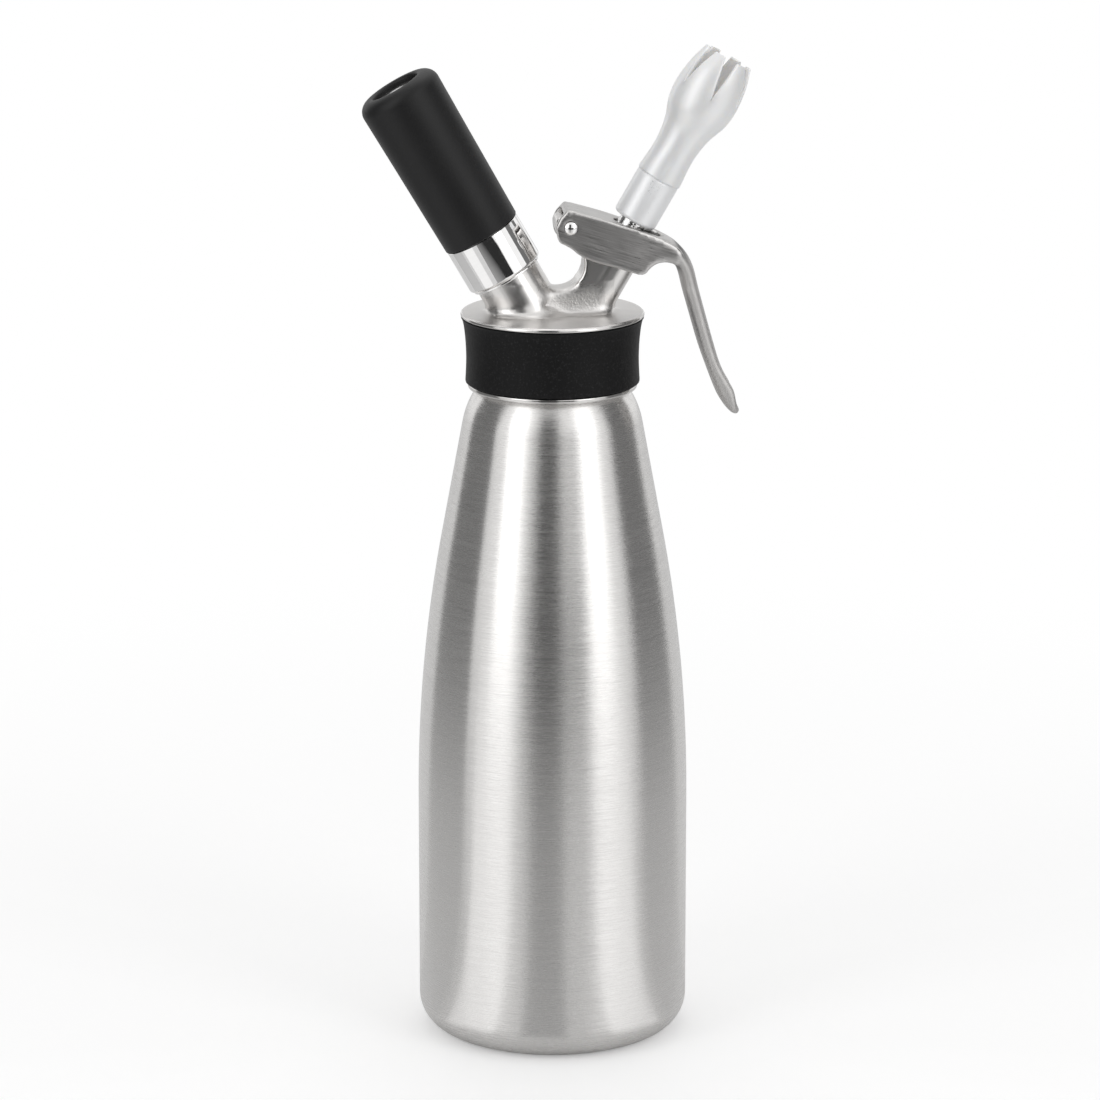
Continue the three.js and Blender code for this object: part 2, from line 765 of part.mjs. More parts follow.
// Tulip tip: a belled tube whose mouth is split into petals by pointed slots
function tulipNozzle() {
  const outside = tulipShares.map(([up, out]) => [out * tulipRadius, tulipBottom + up * tulipLength]);
  const inside = outside.slice(2).map(([r, z]) => [Math.max(r - tulipWall, tulipBore), z]).reverse();
  const spigot = tulipBore + spigotWall;
  let body = solid(turned([
    [tulipBore, spigotBottom],
    [spigot, spigotBottom],
    [spigot, tulipBottom],
    ...outside,
    ...inside,
    [tulipBore, tulipBottom],
  ], nozzleSides));
  const mouthShare = (petalSlotDepth + overrun) / petalSlotDepth;
  const halfWidth = (petalSlotWidth / 2) * mouthShare;
  const wedge = plate([
    [0, tulipTop - petalSlotDepth],
    [halfWidth, tulipTop + overrun],
    [-halfWidth, tulipTop + overrun],
  ], 2 * (tulipRadius + overrun));
  for (let i = 0; i < petalSlots / 2; i += 1) {
    const turn = petalSlotTurn * degrees + (2 * Math.PI * i) / petalSlots;
    body = body.subtract(solid(wedge.clone().rotateZ(turn)));
  }
  return surface(body);
}

// Lever: a channel with a slotted plate over two cheeks, and a strap tail that curls out at its tip
function tailSections() {
  const path = new THREE.CatmullRomCurve3(
    tailShares.map(([x, z]) => new THREE.Vector3(pivot.x + x * tailReach, 0, pivot.z + z * tailDrop)),
  );
  const corners = 16;
  const across = new THREE.Vector3(0, 1, 0);
  return tailShares.map(([, , wideShare, thickShare, dishShare = 0], j) => {
    const at = j / (tailShares.length - 1);
    const out = path.getTangent(at).cross(across).normalize();
    return Array.from({ length: corners }, (_, i) => {
      const angle = (2 * Math.PI * (i + 0.5)) / corners;
      const square = (v) => Math.sign(v) * Math.sqrt(Math.abs(v));
      const wide = square(Math.cos(angle));
      const thick = square(Math.sin(angle));
      const sunk = thick > 0 ? dishShare * (1 - wide ** 2) : 0;
      return path.getPoint(at)
        .addScaledVector(across, wideShare * tailHalfWidth * wide)
        .addScaledVector(out, (thickShare * thick - sunk) * tailHalfThickness);
    });
  });
}

function lever() {
  const top = leverTopShares.map(leverPoint);
  const body = solid(plate([...top, ...leverBottomShares.map(leverPoint)], leverWidth, leverEdge));
  const tail = solid(lofted(tailSections()));
  const underside = top.map(([x, z]) => [x, z - plateThickness]);
  const channelEnd = pivot.x + channelShare * leverHead;
  const kept = underside.filter(([x]) => x < channelEnd);
  const low = pivot.z - leverDepth - overrun;
  const [[startX, startZ], [nextX, nextZ]] = kept;
  const slope = (nextZ - startZ) / (nextX - startX);
  const far = startX - leverHead / 2;
  const endSlope = (underside[kept.length][1] - kept.at(-1)[1]) / (underside[kept.length][0] - kept.at(-1)[0]);
  const endZ = kept.at(-1)[1] + endSlope * (channelEnd - kept.at(-1)[0]);
  const channel = solid(plate([
    [far, startZ + slope * (far - startX)],
    ...kept,
    [channelEnd, endZ],
    [channelEnd, low],
    [far, low],
  ], 2 * cheekInner));
  const slot = new THREE.Shape();
  slot.absarc(slotHalfWidth - slotBack, 0, slotHalfWidth, Math.PI / 2, 1.5 * Math.PI, false);
  slot.absarc(slotFront - slotHalfWidth, 0, slotHalfWidth, -Math.PI / 2, Math.PI / 2, false);
  const slotDepth = collarLift + plateThickness;
  const slotCut = new THREE.ExtrudeGeometry(slot, { depth: slotDepth, bevelEnabled: false, curveSegments: 8 });
  slotCut.translate(0, 0, flangeTop - gap);
  const pinHole = rod(leverPinRadius + hingeGap, -leverWidth, leverWidth).rotateX(Math.PI / 2);
  return surface(body.add(tail)
    .subtract(channel)
    .subtract(solid(leaned(slotCut, outletCrossing, tilt)))
    .subtract(solid(pinHole.translate(pivot.x, pivot.y, pivot.z))));
}

// Pin through cheeks and ear, with a low dome on each end
function leverPin() {
  const half = leverWidth / 2 + gap;
  const domeRadius = (leverPinHead ** 2 + leverPinDome ** 2) / (2 * leverPinDome);
  const domeAngle = Math.asin(leverPinHead / domeRadius) / degrees;
  const dome = arc(0, half + leverPinDome - domeRadius, domeRadius, 90 - domeAngle, 90, 3).slice(0, -1);
  const flipped = dome.map(([r, z]) => [r, -z]).reverse();
  const points = [
    [0, -half - leverPinDome],
    ...flipped,
    [leverPinRadius, -half],
    [leverPinRadius, half],
    ...dome,
    [0, half + leverPinDome],
  ];
  return turned(points, smallSides).rotateX(Math.PI / 2).translate(pivot.x, pivot.y, pivot.z);
}

// Finishes
const steel = { color: 0xb9b9b6, roughness: 0.34, metalness: 1 };
const castSteel = { color: 0xb2b1ad, roughness: 0.4, metalness: 1 };
const chrome = { color: 0xd8d8d8, roughness: 0.08, metalness: 1 };
const springSteel = { color: 0x9d9ea0, roughness: 0.3, metalness: 1 };
const brass = { color: 0xb08d4a, roughness: 0.35, metalness: 1 };
const galvanised = { color: 0xa6a8aa, roughness: 0.3, metalness: 1 };
const softBlack = { color: 0x1c1c1e, roughness: 0.75, metalness: 0 };
const redSilicone = { color: 0xa3231d, roughness: 0.6, metalness: 0 };
const clearSilicone = { color: 0xcfd0cc, roughness: 0.5, metalness: 0 };
const pearlWhite = { color: 0xe9e8e4, roughness: 0.35, metalness: 0 };
const coolWhite = { color: 0xdfe3e8, roughness: 0.38, metalness: 0 };

function piece(group, name, geometry, finish) {
  const mesh = new THREE.Mesh(geometry, new THREE.MeshStandardMaterial(finish));
  mesh.name = name;
  group.add(mesh);
}

function axisGroup(crossing, lean) {
  const group = new THREE.Group();
  group.position.z = crossing;
  group.rotation.y = lean;
  return group;
}

const dispenser = new THREE.Group();
piece(dispenser, "bottle", bottle(), steel);
piece(dispenser, "head_gasket", headGasket(), redSilicone);
piece(dispenser, "head_casting", headCasting(), castSteel);
piece(dispenser, "silicone_band", siliconeBand(), softBlack);
piece(dispenser, "lever", lever(), castSteel);
piece(dispenser, "lever_pin", leverPin(), chrome);

const chargerAxis = axisGroup(chargerCrossing, -tilt);
piece(chargerAxis, "check_valve_disc", checkValveDisc(), clearSilicone);
piece(chargerAxis, "piercing_body", piercingBody(), brass);
piece(chargerAxis, "piercing_pin", piercingPin(), springSteel);
piece(chargerAxis, "charger_seal", chargerSeal(), clearSilicone);
piece(chargerAxis, "gas_charger", gasCharger(), galvanised);
piece(chargerAxis, "charger_cap", chargerCap(), galvanised);
piece(chargerAxis, "holder_sleeve", holderSleeve(), chrome);
piece(chargerAxis, "holder_grip", holderGrip(), softBlack);
piece(chargerAxis, "holder_end_disc", holderEndDisc(), chrome);
dispenser.add(chargerAxis);

const outletAxis = axisGroup(outletCrossing, tilt);
piece(outletAxis, "valve_stem", valveStem(), springSteel);
piece(outletAxis, "valve_seal", valveSeal(), redSilicone);
piece(outletAxis, "valve_guide", valveGuide(), brass);
piece(outletAxis, "stem_o_ring", stemORing(), softBlack);
piece(outletAxis, "valve_spring", valveSpring(), springSteel);
piece(outletAxis, "valve_adapter", valveAdapter(), chrome);
piece(outletAxis, "nozzle_insert", nozzleInsert(), chrome);
piece(outletAxis, "nozzle_seal", nozzleSeal(), clearSilicone);
piece(outletAxis, "nozzle_collar", nozzleCollar(), coolWhite);
piece(outletAxis, "tulip_nozzle", tulipNozzle(), pearlWhite);
dispenser.add(outletAxis);

export default dispenser;
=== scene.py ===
# %% [markdown]
# # A whipped cream dispenser
# The dispenser is a brushed steel bottle with a cast head. A charger holder leans to the left,
# and a squeeze lever with a plastic tulip nozzle leans to the right. The imported CAD model is
# the frame: it fixes every place and size. This lesson builds finer skins over its solids,
# gives each one its finish, and sets up the lamps and camera that photograph it against white.

# %% Load the frame
import math

import bmesh
import bpy
from mathutils import Matrix, Vector


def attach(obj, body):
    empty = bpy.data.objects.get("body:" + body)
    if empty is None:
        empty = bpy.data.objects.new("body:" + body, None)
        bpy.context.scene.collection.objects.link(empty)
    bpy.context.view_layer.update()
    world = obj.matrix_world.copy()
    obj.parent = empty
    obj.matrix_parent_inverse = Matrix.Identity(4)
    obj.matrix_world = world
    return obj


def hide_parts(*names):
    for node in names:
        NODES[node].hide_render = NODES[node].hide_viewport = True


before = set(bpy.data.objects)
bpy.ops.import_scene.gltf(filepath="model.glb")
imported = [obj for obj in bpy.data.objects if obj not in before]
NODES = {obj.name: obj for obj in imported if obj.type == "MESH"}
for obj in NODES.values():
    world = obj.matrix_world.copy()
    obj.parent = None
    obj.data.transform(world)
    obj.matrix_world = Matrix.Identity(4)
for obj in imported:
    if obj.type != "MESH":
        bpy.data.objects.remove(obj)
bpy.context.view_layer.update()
MM = 0.001

# %% [markdown]
# ## The three axes
# The bottle stands upright. The charger port leans 30 degrees to the left and the outlet leans
# 30 degrees to the right, and both cross the bottle's axis inside the head. A piece on a leaning
# axis is drawn upright and then placed with one matrix. Its own coordinates stay upright, so a
# finish that runs round the piece needs no extra rotation.

# %% Axes
LEAN = math.radians(30)
DISC_TOP = 273.1
CHARGER_CROSSING = 257.6
OUTLET_CROSSING = 255.0
UPRIGHT = Matrix.Identity(4)


def leaning(crossing, angle):
    """Places an upright piece on an axis that leans in the XZ plane."""
    return Matrix.Translation((0, 0, crossing * MM)) @ Matrix.Rotation(angle, 4, "Y")


CHARGER_AXIS = leaning(CHARGER_CROSSING, -LEAN)
OUTLET_AXIS = leaning(OUTLET_CROSSING, LEAN)
print("charger axis:", [round(v, 3) for v in CHARGER_AXIS.col[2][:3]])
print("outlet axis:", [round(v, 3) for v in OUTLET_AXIS.col[2][:3]])

# %% [markdown]
# ## Shader sums
# A finish is a sum of patterns: fine scratches plus slow clouds, times a mask. Wiring Math nodes
# by hand hides that sum, so a small class wraps an output socket and lets Python's own signs add
# the nodes.


# %% A socket that can be summed
class Value:
    """An output socket in a Python sum. Each operation adds one Math node."""

    def __init__(self, owner, socket):
        self.owner = owner
        self.socket = socket

    def math(self, operation, *values):
        sockets = dict(enumerate(values))
        return self.owner.node("ShaderNodeMath", {"operation": operation}, sockets)

    def __add__(self, other):
        return self.math("ADD", self, other)

    def __radd__(self, other):
        return self.math("ADD", other, self)

    def __sub__(self, other):
        return self.math("SUBTRACT", self, other)

    def __rsub__(self, other):
        return self.math("SUBTRACT", other, self)

    def __mul__(self, other):
        return self.math("MULTIPLY", self, other)

    def __rmul__(self, other):
        return self.math("MULTIPLY", other, self)

    def __pow__(self, other):
        return self.math("POWER", self, other)

    def __abs__(self):
        return self.math("ABSOLUTE", self)

    def within(self, low, high):
        """0 below low, 1 above high, and a smooth step between them."""
        settings = {"interpolation_type": "SMOOTHSTEP"}
        return self.owner.node("ShaderNodeMapRange", settings, {0: self, 1: low, 2: high})


# %% [markdown]
# ## One way to make nodes
# Materials and the room's light are both trees of nodes. One method makes each node, chooses its
# settings, and fills its sockets with numbers or links.


# %% The node tree class
class Nodes:
    """A node tree that grows by one method."""

    def __init__(self, tree):
        self.tree = tree

    def node(self, kind, settings=None, sockets=None, output=0):
        """Adds a node and returns one of its outputs."""
        made = self.tree.nodes.new(kind)
        for name, value in (settings or {}).items():
            setattr(made, name, value)
        for key, value in (sockets or {}).items():
            if isinstance(value, Value):
                self.tree.links.new(value.socket, made.inputs[key])
            else:
                made.inputs[key].default_value = value
        return Value(self, made.outputs[output])

    def show(self, shader, output):
        """Sends a finished shader to the tree's output node."""
        self.tree.links.new(shader.socket, self.tree.nodes[output].inputs["Surface"])


# %% [markdown]
# ## A finish
# A finish is a material on Blender's Principled shader. Numbers that hold all over a surface go
# straight onto the shader. On the dispenser only colour, roughness and the surface's small
# relief vary, and those are inputs that an export can bake.


# %% The finish class
class Finish(Nodes):
    """A material built from named shader values and summed patterns."""

    def __init__(self, name, **constants):
        self.material = bpy.data.materials.new(name)
        self.material.use_nodes = True
        super().__init__(self.material.node_tree)
        self.shader = self.tree.nodes["Principled BSDF"]
        for socket, value in constants.items():
            self.shader.inputs[socket.replace("_", " ")].default_value = value

    def feed(self, **links):
        """Links patterns to the shader's sockets."""
        for socket, value in links.items():
            self.tree.links.new(value.socket, self.shader.inputs[socket.replace("_", " ")])

    def place(self):
        """The piece's own coordinates, in metres."""
        return self.node("ShaderNodeTexCoord", output="Object")

    def stretched(self, x, y, z):
        """The piece's coordinates scaled to pattern cells per metre."""
        sockets = {0: self.place(), 1: (x, y, z)}
        return self.node("ShaderNodeVectorMath", {"operation": "MULTIPLY"}, sockets)

    def part(self, name):
        """One of the piece's coordinates, X, Y or Z."""
        return self.node("ShaderNodeSeparateXYZ", {}, {0: self.place()}, output=name)

    def noise(self, vector, detail=2.0, roughness=0.5):
        """A cloudy pattern from 0 to 1."""
        sockets = {"Vector": vector, "Scale": 1.0, "Detail": detail, "Roughness": roughness}
        return self.node("ShaderNodeTexNoise", {}, sockets, output=0)

    def blend(self, factor, first, second):
        """The first colour where factor is 0 and the second where it is 1."""
        settings = {"data_type": "RGBA"}
        return self.node("ShaderNodeMix", settings, {0: factor, 6: first, 7: second}, output=2)

    def relief(self, height, depth, strength=1.0):
        """A bump whose full height is depth, in metres."""
        sockets = {"Height": height, "Distance": depth, "Strength": strength}
        return self.node("ShaderNodeBump", {}, sockets)


def grey(value, warmth=0.0):
    """A neutral metal colour, a touch warmer or cooler."""
    return (value * (1 + warmth), value, value * (1 - warmth), 1.0)


# %% [markdown]
# ## Brushed bottle steel
# The bottle is spun from sheet and brushed while it turns, so its scratches run round it. The
# pattern is noise whose cells are long round the bottle and very short along its axis. Two sizes
# are summed: hair scratches, and broader streaks that the eye picks out from a distance. Grooves
# smear a reflection across themselves and leave it crisp along them. So the shader is
# anisotropic, turned by a quarter, and the reflected bands keep clean upright edges.


# %% Bottle steel
def brushed_round():
    steel = Finish("bottle_steel", Metallic=1.0, Anisotropic=0.9, Anisotropic_Rotation=0.25)
    hair = steel.noise(steel.stretched(200, 200, 5400), 4.0, 0.7)
    streak = steel.noise(steel.stretched(45, 45, 1700), 2.0, 0.5)
    cloud = steel.noise(steel.stretched(14, 14, 9), 1.0)
    scratch = (0.65 * hair + 0.35 * streak).within(0.18, 0.82)
    steel.feed(
        Base_Color=steel.blend(scratch, grey(0.66, 0.016), grey(0.84, 0.016)),
        Roughness=0.18 + 0.12 * scratch + 0.05 * cloud,
        Normal=steel.relief(scratch, 0.04 * MM, 0.45),
    )
    return steel.material


BOTTLE_STEEL = brushed_round()
print("made", BOTTLE_STEEL.name)

# %% [markdown]
# ## Head steel
# The head is one investment casting with three surfaces. Its flat disc is faced on a lathe, so it
# carries fine rings round the bottle's axis. The port, web and boss are polished on a wheel. The
# wheel can't reach the bottom of the saddle, so the grainy, rougher cast skin stays there, and the
# colour there is darkened as painted shade. Masks by place choose between the three, and they
# fade into each other as they do on the metal. The disc's rim and the bead at the skirt's foot are
# polished brightest.


# %% Head steel
def head_steel():
    disc_top = DISC_TOP * MM
    rim = 32.4 * MM
    bead_top = 247.1 * MM
    saddle_middle = 6 * MM
    steel = Finish("cast_steel", Metallic=1.0)
    x, y, z = (steel.part(axis) for axis in "XYZ")
    radius = (x * x + y * y) ** 0.5
    faced = 1.0 - z.within(disc_top + 0.2 * MM, disc_top + 2.1 * MM)
    on_rim = radius.within(rim, rim + 0.4 * MM)
    on_bead = 1.0 - z.within(bead_top, bead_top + 0.5 * MM)
    dull = 1.0 - (on_rim + on_bead).within(0.0, 1.0)
    low = 1.0 - z.within(disc_top + 3.9 * MM, disc_top + 12.9 * MM)
    beside = 1.0 - abs(x - saddle_middle).within(7 * MM, 15 * MM)
    # The bottom of the saddle: grainy, rougher cast skin, and a painted shade in the colour
    skin = low * beside * (1.0 - faced)
    rings = steel.noise(steel.node("ShaderNodeCombineXYZ", {}, {0: radius * 3600.0, 1: z * 900.0}))
    grain = steel.noise(steel.stretched(820, 820, 820), 3.0, 0.7)
    wheel = steel.noise(steel.stretched(500, 500, 90))
    cloud = steel.noise(steel.stretched(110, 110, 110), 1.0)
    marks = rings * faced * dull + 0.25 * wheel * (1.0 - faced) + grain * skin * 5.0
    steel.feed(
        # Slow clouds vary the colour, and the saddle's bottom is darkened as painted shade
        Base_Color=steel.blend(cloud * 0.6 + skin * 0.4, grey(0.74, 0.02), grey(0.6, 0.02)),
        Roughness=0.13 + 0.09 * dull + 0.07 * faced * dull + 0.05 * wheel + 0.2 * skin,
        Normal=steel.relief(marks, 0.09 * MM, 0.7),
    )
    return steel.material


HEAD_STEEL = head_steel()
print("made", HEAD_STEEL.name)

# %% [markdown]
# ## Lever steel
# The lever is satin brushed along its length. The head runs down at about 18 degrees and the
# tail at about 75, so the scratch direction changes at the bend. Two rotated stretches of noise
# are mixed across the bend. The inside of the channel is out of reach, so it stays dull, and its
# colour is darkened there as painted shade.


# %% Lever steel
def brushed_lever():
    head_slope, tail_slope = math.radians(18), math.radians(75)
    bend_x, bend_z, bend_lean = 43 * MM, 293.5 * MM, 0.6
    plate_height, plate_fall = 313.76 * MM, 0.318
    steel = Finish("lever_steel", Metallic=1.0)
    x, y, z = (steel.part(axis) for axis in "XYZ")
    tail = (x + (bend_z - z) * bend_lean).within(bend_x, bend_x + 9 * MM)

    def strokes(slope, cells, long, wide, detail):
        """Scratches along a slope, with cells per metre across them, along them and sideways."""
        across = x * (math.sin(slope) * cells) + z * (math.cos(slope) * cells)
        along = x * (math.cos(slope) * long) - z * (math.sin(slope) * long)
        vector = steel.node("ShaderNodeCombineXYZ", {}, {0: across, 1: along, 2: y * wide})
        return steel.noise(vector, detail, 0.6).within(0.22, 0.78)

    head_strokes = strokes(head_slope, 3400.0, 70.0, 2400.0, 3.0)
    tail_strokes = strokes(tail_slope, 60.0, 20.0, 500.0, 0.0)
    scratch = head_strokes * (1.0 - tail) + (0.65 + 0.25 * tail_strokes) * tail
    cloud = steel.noise(steel.stretched(70, 70, 70), 1.0)
    under = (plate_height - plate_fall * x - z).within(1 * MM, 2.4 * MM)
    between = 1.0 - abs(y).within(7.3 * MM, 7.7 * MM)
    # Inside the channel: rougher metal, and a painted shade that darkens the colour
    channel_dull_and_painted_shade = under * x.within(10 * MM, 16 * MM) * between * (1.0 - tail)
    satin = steel.blend(scratch, grey(0.43, 0.018), grey(0.63, 0.018))
    steel.feed(
        # Inside the channel the colour turns to a painted shade of dark grey
        Base_Color=steel.blend(channel_dull_and_painted_shade, satin, grey(0.12)),
        Roughness=0.24 + 0.1 * scratch + 0.05 * cloud + 0.24 * tail + 0.3 * channel_dull_and_painted_shade,
        Normal=steel.relief(scratch, 0.02 * MM, 0.25),
    )
    return steel.material


LEVER_STEEL = brushed_lever()
print("made", LEVER_STEEL.name)

# %% [markdown]
# ## Mirror chrome
# The holder's sleeve, the lever pin and the nozzle's threaded adapter are plated and polished.
# A mirror still has a breath of waviness and a few wipe marks, which keep it from looking drawn.


# %% Chrome
def mirror_chrome():
    chrome = Finish("polished_chrome", Metallic=1.0)
    wipe = chrome.noise(chrome.stretched(160, 160, 700), 3.0, 0.65)
    wave = chrome.noise(chrome.stretched(90, 90, 60), 1.0)
    chrome.feed(
        Base_Color=chrome.blend(wipe, grey(0.84, 0.006), grey(0.93, 0.006)),
        Roughness=0.03 + 0.05 * wipe,
        Normal=chrome.relief(wave, 0.04 * MM, 0.25),
    )
    return chrome.material


CHROME = mirror_chrome()
print("made", CHROME.name)

# %% [markdown]
# ## Black rubbers
# The band round the head is silicone with a fine moulded grain. Its small specks of light are
# painted glints in the colour. The holder's grip has a softer, smoother skin with few painted
# glints. Both come from one recipe with its own grain and gloss.


# %% Silicone and grip
def soft_black(name, shade, gloss, shine, cells, depth, painted_glint):
    rubber = Finish(name, IOR=1.45, Specular_IOR_Level=shine)
    grain = rubber.noise(rubber.stretched(cells, cells, cells), 4.0, 0.7)
    handled = rubber.noise(rubber.stretched(55, 55, 40), 2.0)
    # Painted glints: small lighter specks in the colour stand in for the grain catching light
    painted_glints = grain.within(0.52, 0.7)
    dark = (shade, shade, shade * 1.04, 1.0)
    light = (shade * 6, shade * 6, shade * 6.2, 1.0)
    rubber.feed(
        # The colour mixes painted glints with slow random tone from handling
        Base_Color=rubber.blend(painted_glints * painted_glint + handled * 0.1, dark, light),
        Roughness=gloss + 0.1 * handled + 0.08 * grain,
        Normal=rubber.relief(grain, depth, 0.8),
    )
    return rubber.material


# The last number sets how strongly the painted glints show in the colour
BAND_SILICONE = soft_black(
    "band_silicone", shade=0.0055, gloss=0.42, shine=0.18, cells=1250, depth=0.2 * MM, painted_glint=0.65,
)
GRIP_BLACK = soft_black(
    "grip_black", shade=0.009, gloss=0.36, shine=0.32, cells=1900, depth=0.03 * MM, painted_glint=0.1,
)
print("made", BAND_SILICONE.name, GRIP_BLACK.name)

# %% [markdown]
# ## White plastics
# The tulip nozzle is moulded in a pearly white plastic and its collar in a cooler one. Light
# enters such plastic a little before it leaves again, so both get some scattering. The pearl
# pigment is tiny bright flakes, and a small metallic share gives their soft sheen. Slow flow
# marks from the mould tint the colour.


# %% Pearl and cool white
def moulded(name, pale, shaded, gloss, scatter):
    plastic = Finish(
        name, Metallic=0.2, IOR=1.48, Subsurface_Weight=scatter, Subsurface_Scale=3 * MM,
        Subsurface_Radius=(1.0, 0.85, 0.7),
    )
    flow = plastic.noise(plastic.stretched(90, 90, 35), 2.0)
    skin = plastic.noise(plastic.stretched(1300, 1300, 1300), 2.0)
    plastic.feed(
        Base_Color=plastic.blend(flow, shaded, pale),
        Roughness=gloss + 0.08 * flow + 0.04 * skin,
        Normal=plastic.relief(skin, 0.02 * MM, 0.4),
    )
    return plastic.material


PEARL = moulded("pearl_white", (0.95, 0.946, 0.938, 1), (0.93, 0.927, 0.92, 1), 0.24, 0.5)
COOL_WHITE = moulded("cool_white", (0.94, 0.945, 0.952, 1), (0.91, 0.917, 0.927, 1), 0.23, 0.05)
print("made", PEARL.name, COOL_WHITE.name)

# %% [markdown]
# ## Inner finishes
# The parts inside the head show only when it is taken apart, but they are finished as well:
# drawn spring steel, galvanised charger steel, turned brass, and red and clear silicone. One
# recipe with a colour pair, a gloss and the marks' cells per metre serves all of them.


# %% Inner finishes
def inner(name, dark, pale, gloss, cells, metallic):
    made = Finish(name, Metallic=metallic)
    marks = made.noise(made.stretched(*cells), 3.0, 0.6)
    made.feed(
        Base_Color=made.blend(marks, dark, pale),
        Roughness=gloss + 0.12 * marks,
        Normal=made.relief(marks, 0.02 * MM, 0.5),
    )
    return made.material


GALVANISED_TONES = (grey(0.5, -0.02), grey(0.68, -0.02))
BRASS_TONES = ((0.55, 0.4, 0.17, 1), (0.75, 0.58, 0.28, 1))
RED_TONES = ((0.36, 0.025, 0.02, 1), (0.46, 0.04, 0.03, 1))
CLEAR_TONES = ((0.6, 0.61, 0.6, 1), (0.74, 0.74, 0.72, 1))
SPRING_STEEL = inner("spring_steel", grey(0.42), grey(0.66), 0.2, (300, 300, 2600), 1.0)
CHARGER_STEEL = inner("charger_steel", *GALVANISED_TONES, 0.28, (260, 260, 180), 1.0)
BRASS = inner("valve_brass", *BRASS_TONES, 0.22, (90, 90, 3200), 1.0)
RED_SILICONE = inner("red_silicone", *RED_TONES, 0.5, (900, 900, 900), 0.0)
CLEAR_SILICONE = inner("clear_silicone", *CLEAR_TONES, 0.35, (700, 700, 700), 0.0)
print("made five inner finishes")

# %% [markdown]
# ## Turned skins
# Most pieces are turned or moulded round an axis. Their skin is a half section, written as
# radius and height in millimetres, spun in many more steps than the CAD solid has. Edges sharper
# than about 30 degrees stay crisp, and all others are shaded smooth.


# %% Helpers for turned pieces
def arc(radius, height, size, start, end, steps):
    """Points on a quarter, or another part, of a circle. Angles are in degrees."""
    angles = [math.radians(start + (end - start) * i / steps) for i in range(steps + 1)]
    return [(radius + size * math.cos(a), height + size * math.sin(a)) for a in angles]


def curve_through(points, steps):
    """A smooth curve through the points, with steps spans between each two."""
    padded = [points[0], *points, points[-1]]
    line = []
    for before, start, end, after in zip(padded, padded[1:], padded[2:], padded[3:]):
        for i in range(steps):
            t = i / steps
            line.append(tuple(
                0.5 * (2 * b + (c - a) * t + (2 * a - 5 * b + 4 * c - d) * t**2
                       + (3 * b - a - 3 * c + d) * t**3)
                for a, b, c, d in zip(before, start, end, after)
            ))
    return [*line, points[-1]]


def mesh_of(name, work):
    """Welds, orients and stores a bmesh."""
    bmesh.ops.remove_doubles(work, verts=work.verts, dist=1e-7)
    bmesh.ops.recalc_face_normals(work, faces=work.faces)
    mesh = bpy.data.meshes.new(name)
    work.to_mesh(mesh)
    work.free()
    return mesh


def turned(name, section, sides, open_ends=False):
    """A skin spun from [radius, height] points. It closes on itself unless its ends lie on the axis."""
    work = bmesh.new()
    points = [work.verts.new((r * MM, 0, z * MM)) for r, z in section]
    pairs = list(zip(points, points[1:]))
    if not open_ends:
        pairs.append((points[-1], points[0]))
    edges = [work.edges.new(pair) for pair in pairs]
    spin = {"axis": (0, 0, 1), "cent": (0, 0, 0), "dvec": (0, 0, 0)}
    bmesh.ops.spin(work, geom=points + edges, angle=2 * math.pi, steps=sides, use_merge=True, **spin)
    return mesh_of(name, work)


# %% [markdown]
# ## From a mesh to a piece
# Every skin becomes a piece in the same way. It gets its material, stands in its place, rides on
# the body that it moves with, and names the solid, if any, that it is shown instead of.


# %% Helper that settles a piece
def settle(name, mesh, place, body, material, replaced=(), sharp=32):
    """Turns a mesh into a piece of the dispenser that rides on a body."""
    mesh.shade_smooth()
    mesh.set_sharp_from_angle(angle=math.radians(sharp))
    mesh.materials.clear()
    mesh.materials.append(material)
    piece = bpy.data.objects.new(name, mesh)
    bpy.context.scene.collection.objects.link(piece)
    piece.matrix_world = place
    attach(piece, body)
    if replaced:
        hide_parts(*replaced)
    print(name, "has", len(mesh.polygons), "faces and rides on", body)


# %% [markdown]
# ## The bottle
# The wall is a rounded foot, a straight section, a long arc, a cone and a round shoulder. Each
# stretch leaves the one before it in the same direction, so reflections flow over the joins. The
# inside follows 1.3 mm further in, and the foot has a shallow recess so that it stands on a ring.


# %% Bottle skin
BOTTLE_RADIUS = 50
FOOT_CORNER = 12.5
STRAIGHT_TOP = 90
TAPER_ARC = 550
CONE_ANGLE = 10.5
CONE_TOP = 232
SHOULDER_ARC = 32
SHOULDER_LEAN = 33
NECK_RADIUS = 26.8
NECK_FOOT = 245.1
NECK_TOP = 264.7
MOUTH_RADIUS = 24.6
BOTTLE_WALL = 1.3
RECESS = 2.5


def bottle_wall(inset, steps):
    """The bottle's outline from its foot to its shoulder, moved inwards by inset."""
    cone = math.radians(CONE_ANGLE)
    corner = arc(BOTTLE_RADIUS - FOOT_CORNER, FOOT_CORNER, FOOT_CORNER - inset, -90, 0, steps)
    taper = arc(BOTTLE_RADIUS - TAPER_ARC, STRAIGHT_TOP, TAPER_ARC - inset, 0, CONE_ANGLE, 2 * steps)
    arc_top = STRAIGHT_TOP + TAPER_ARC * math.sin(cone)
    radius = BOTTLE_RADIUS - TAPER_ARC * (1 - math.cos(cone)) - (CONE_TOP - arc_top) * math.tan(cone)
    centre = (radius - SHOULDER_ARC * math.cos(cone), CONE_TOP - SHOULDER_ARC * math.sin(cone))
    return corner + taper + arc(*centre, SHOULDER_ARC - inset, CONE_ANGLE, SHOULDER_LEAN, steps)


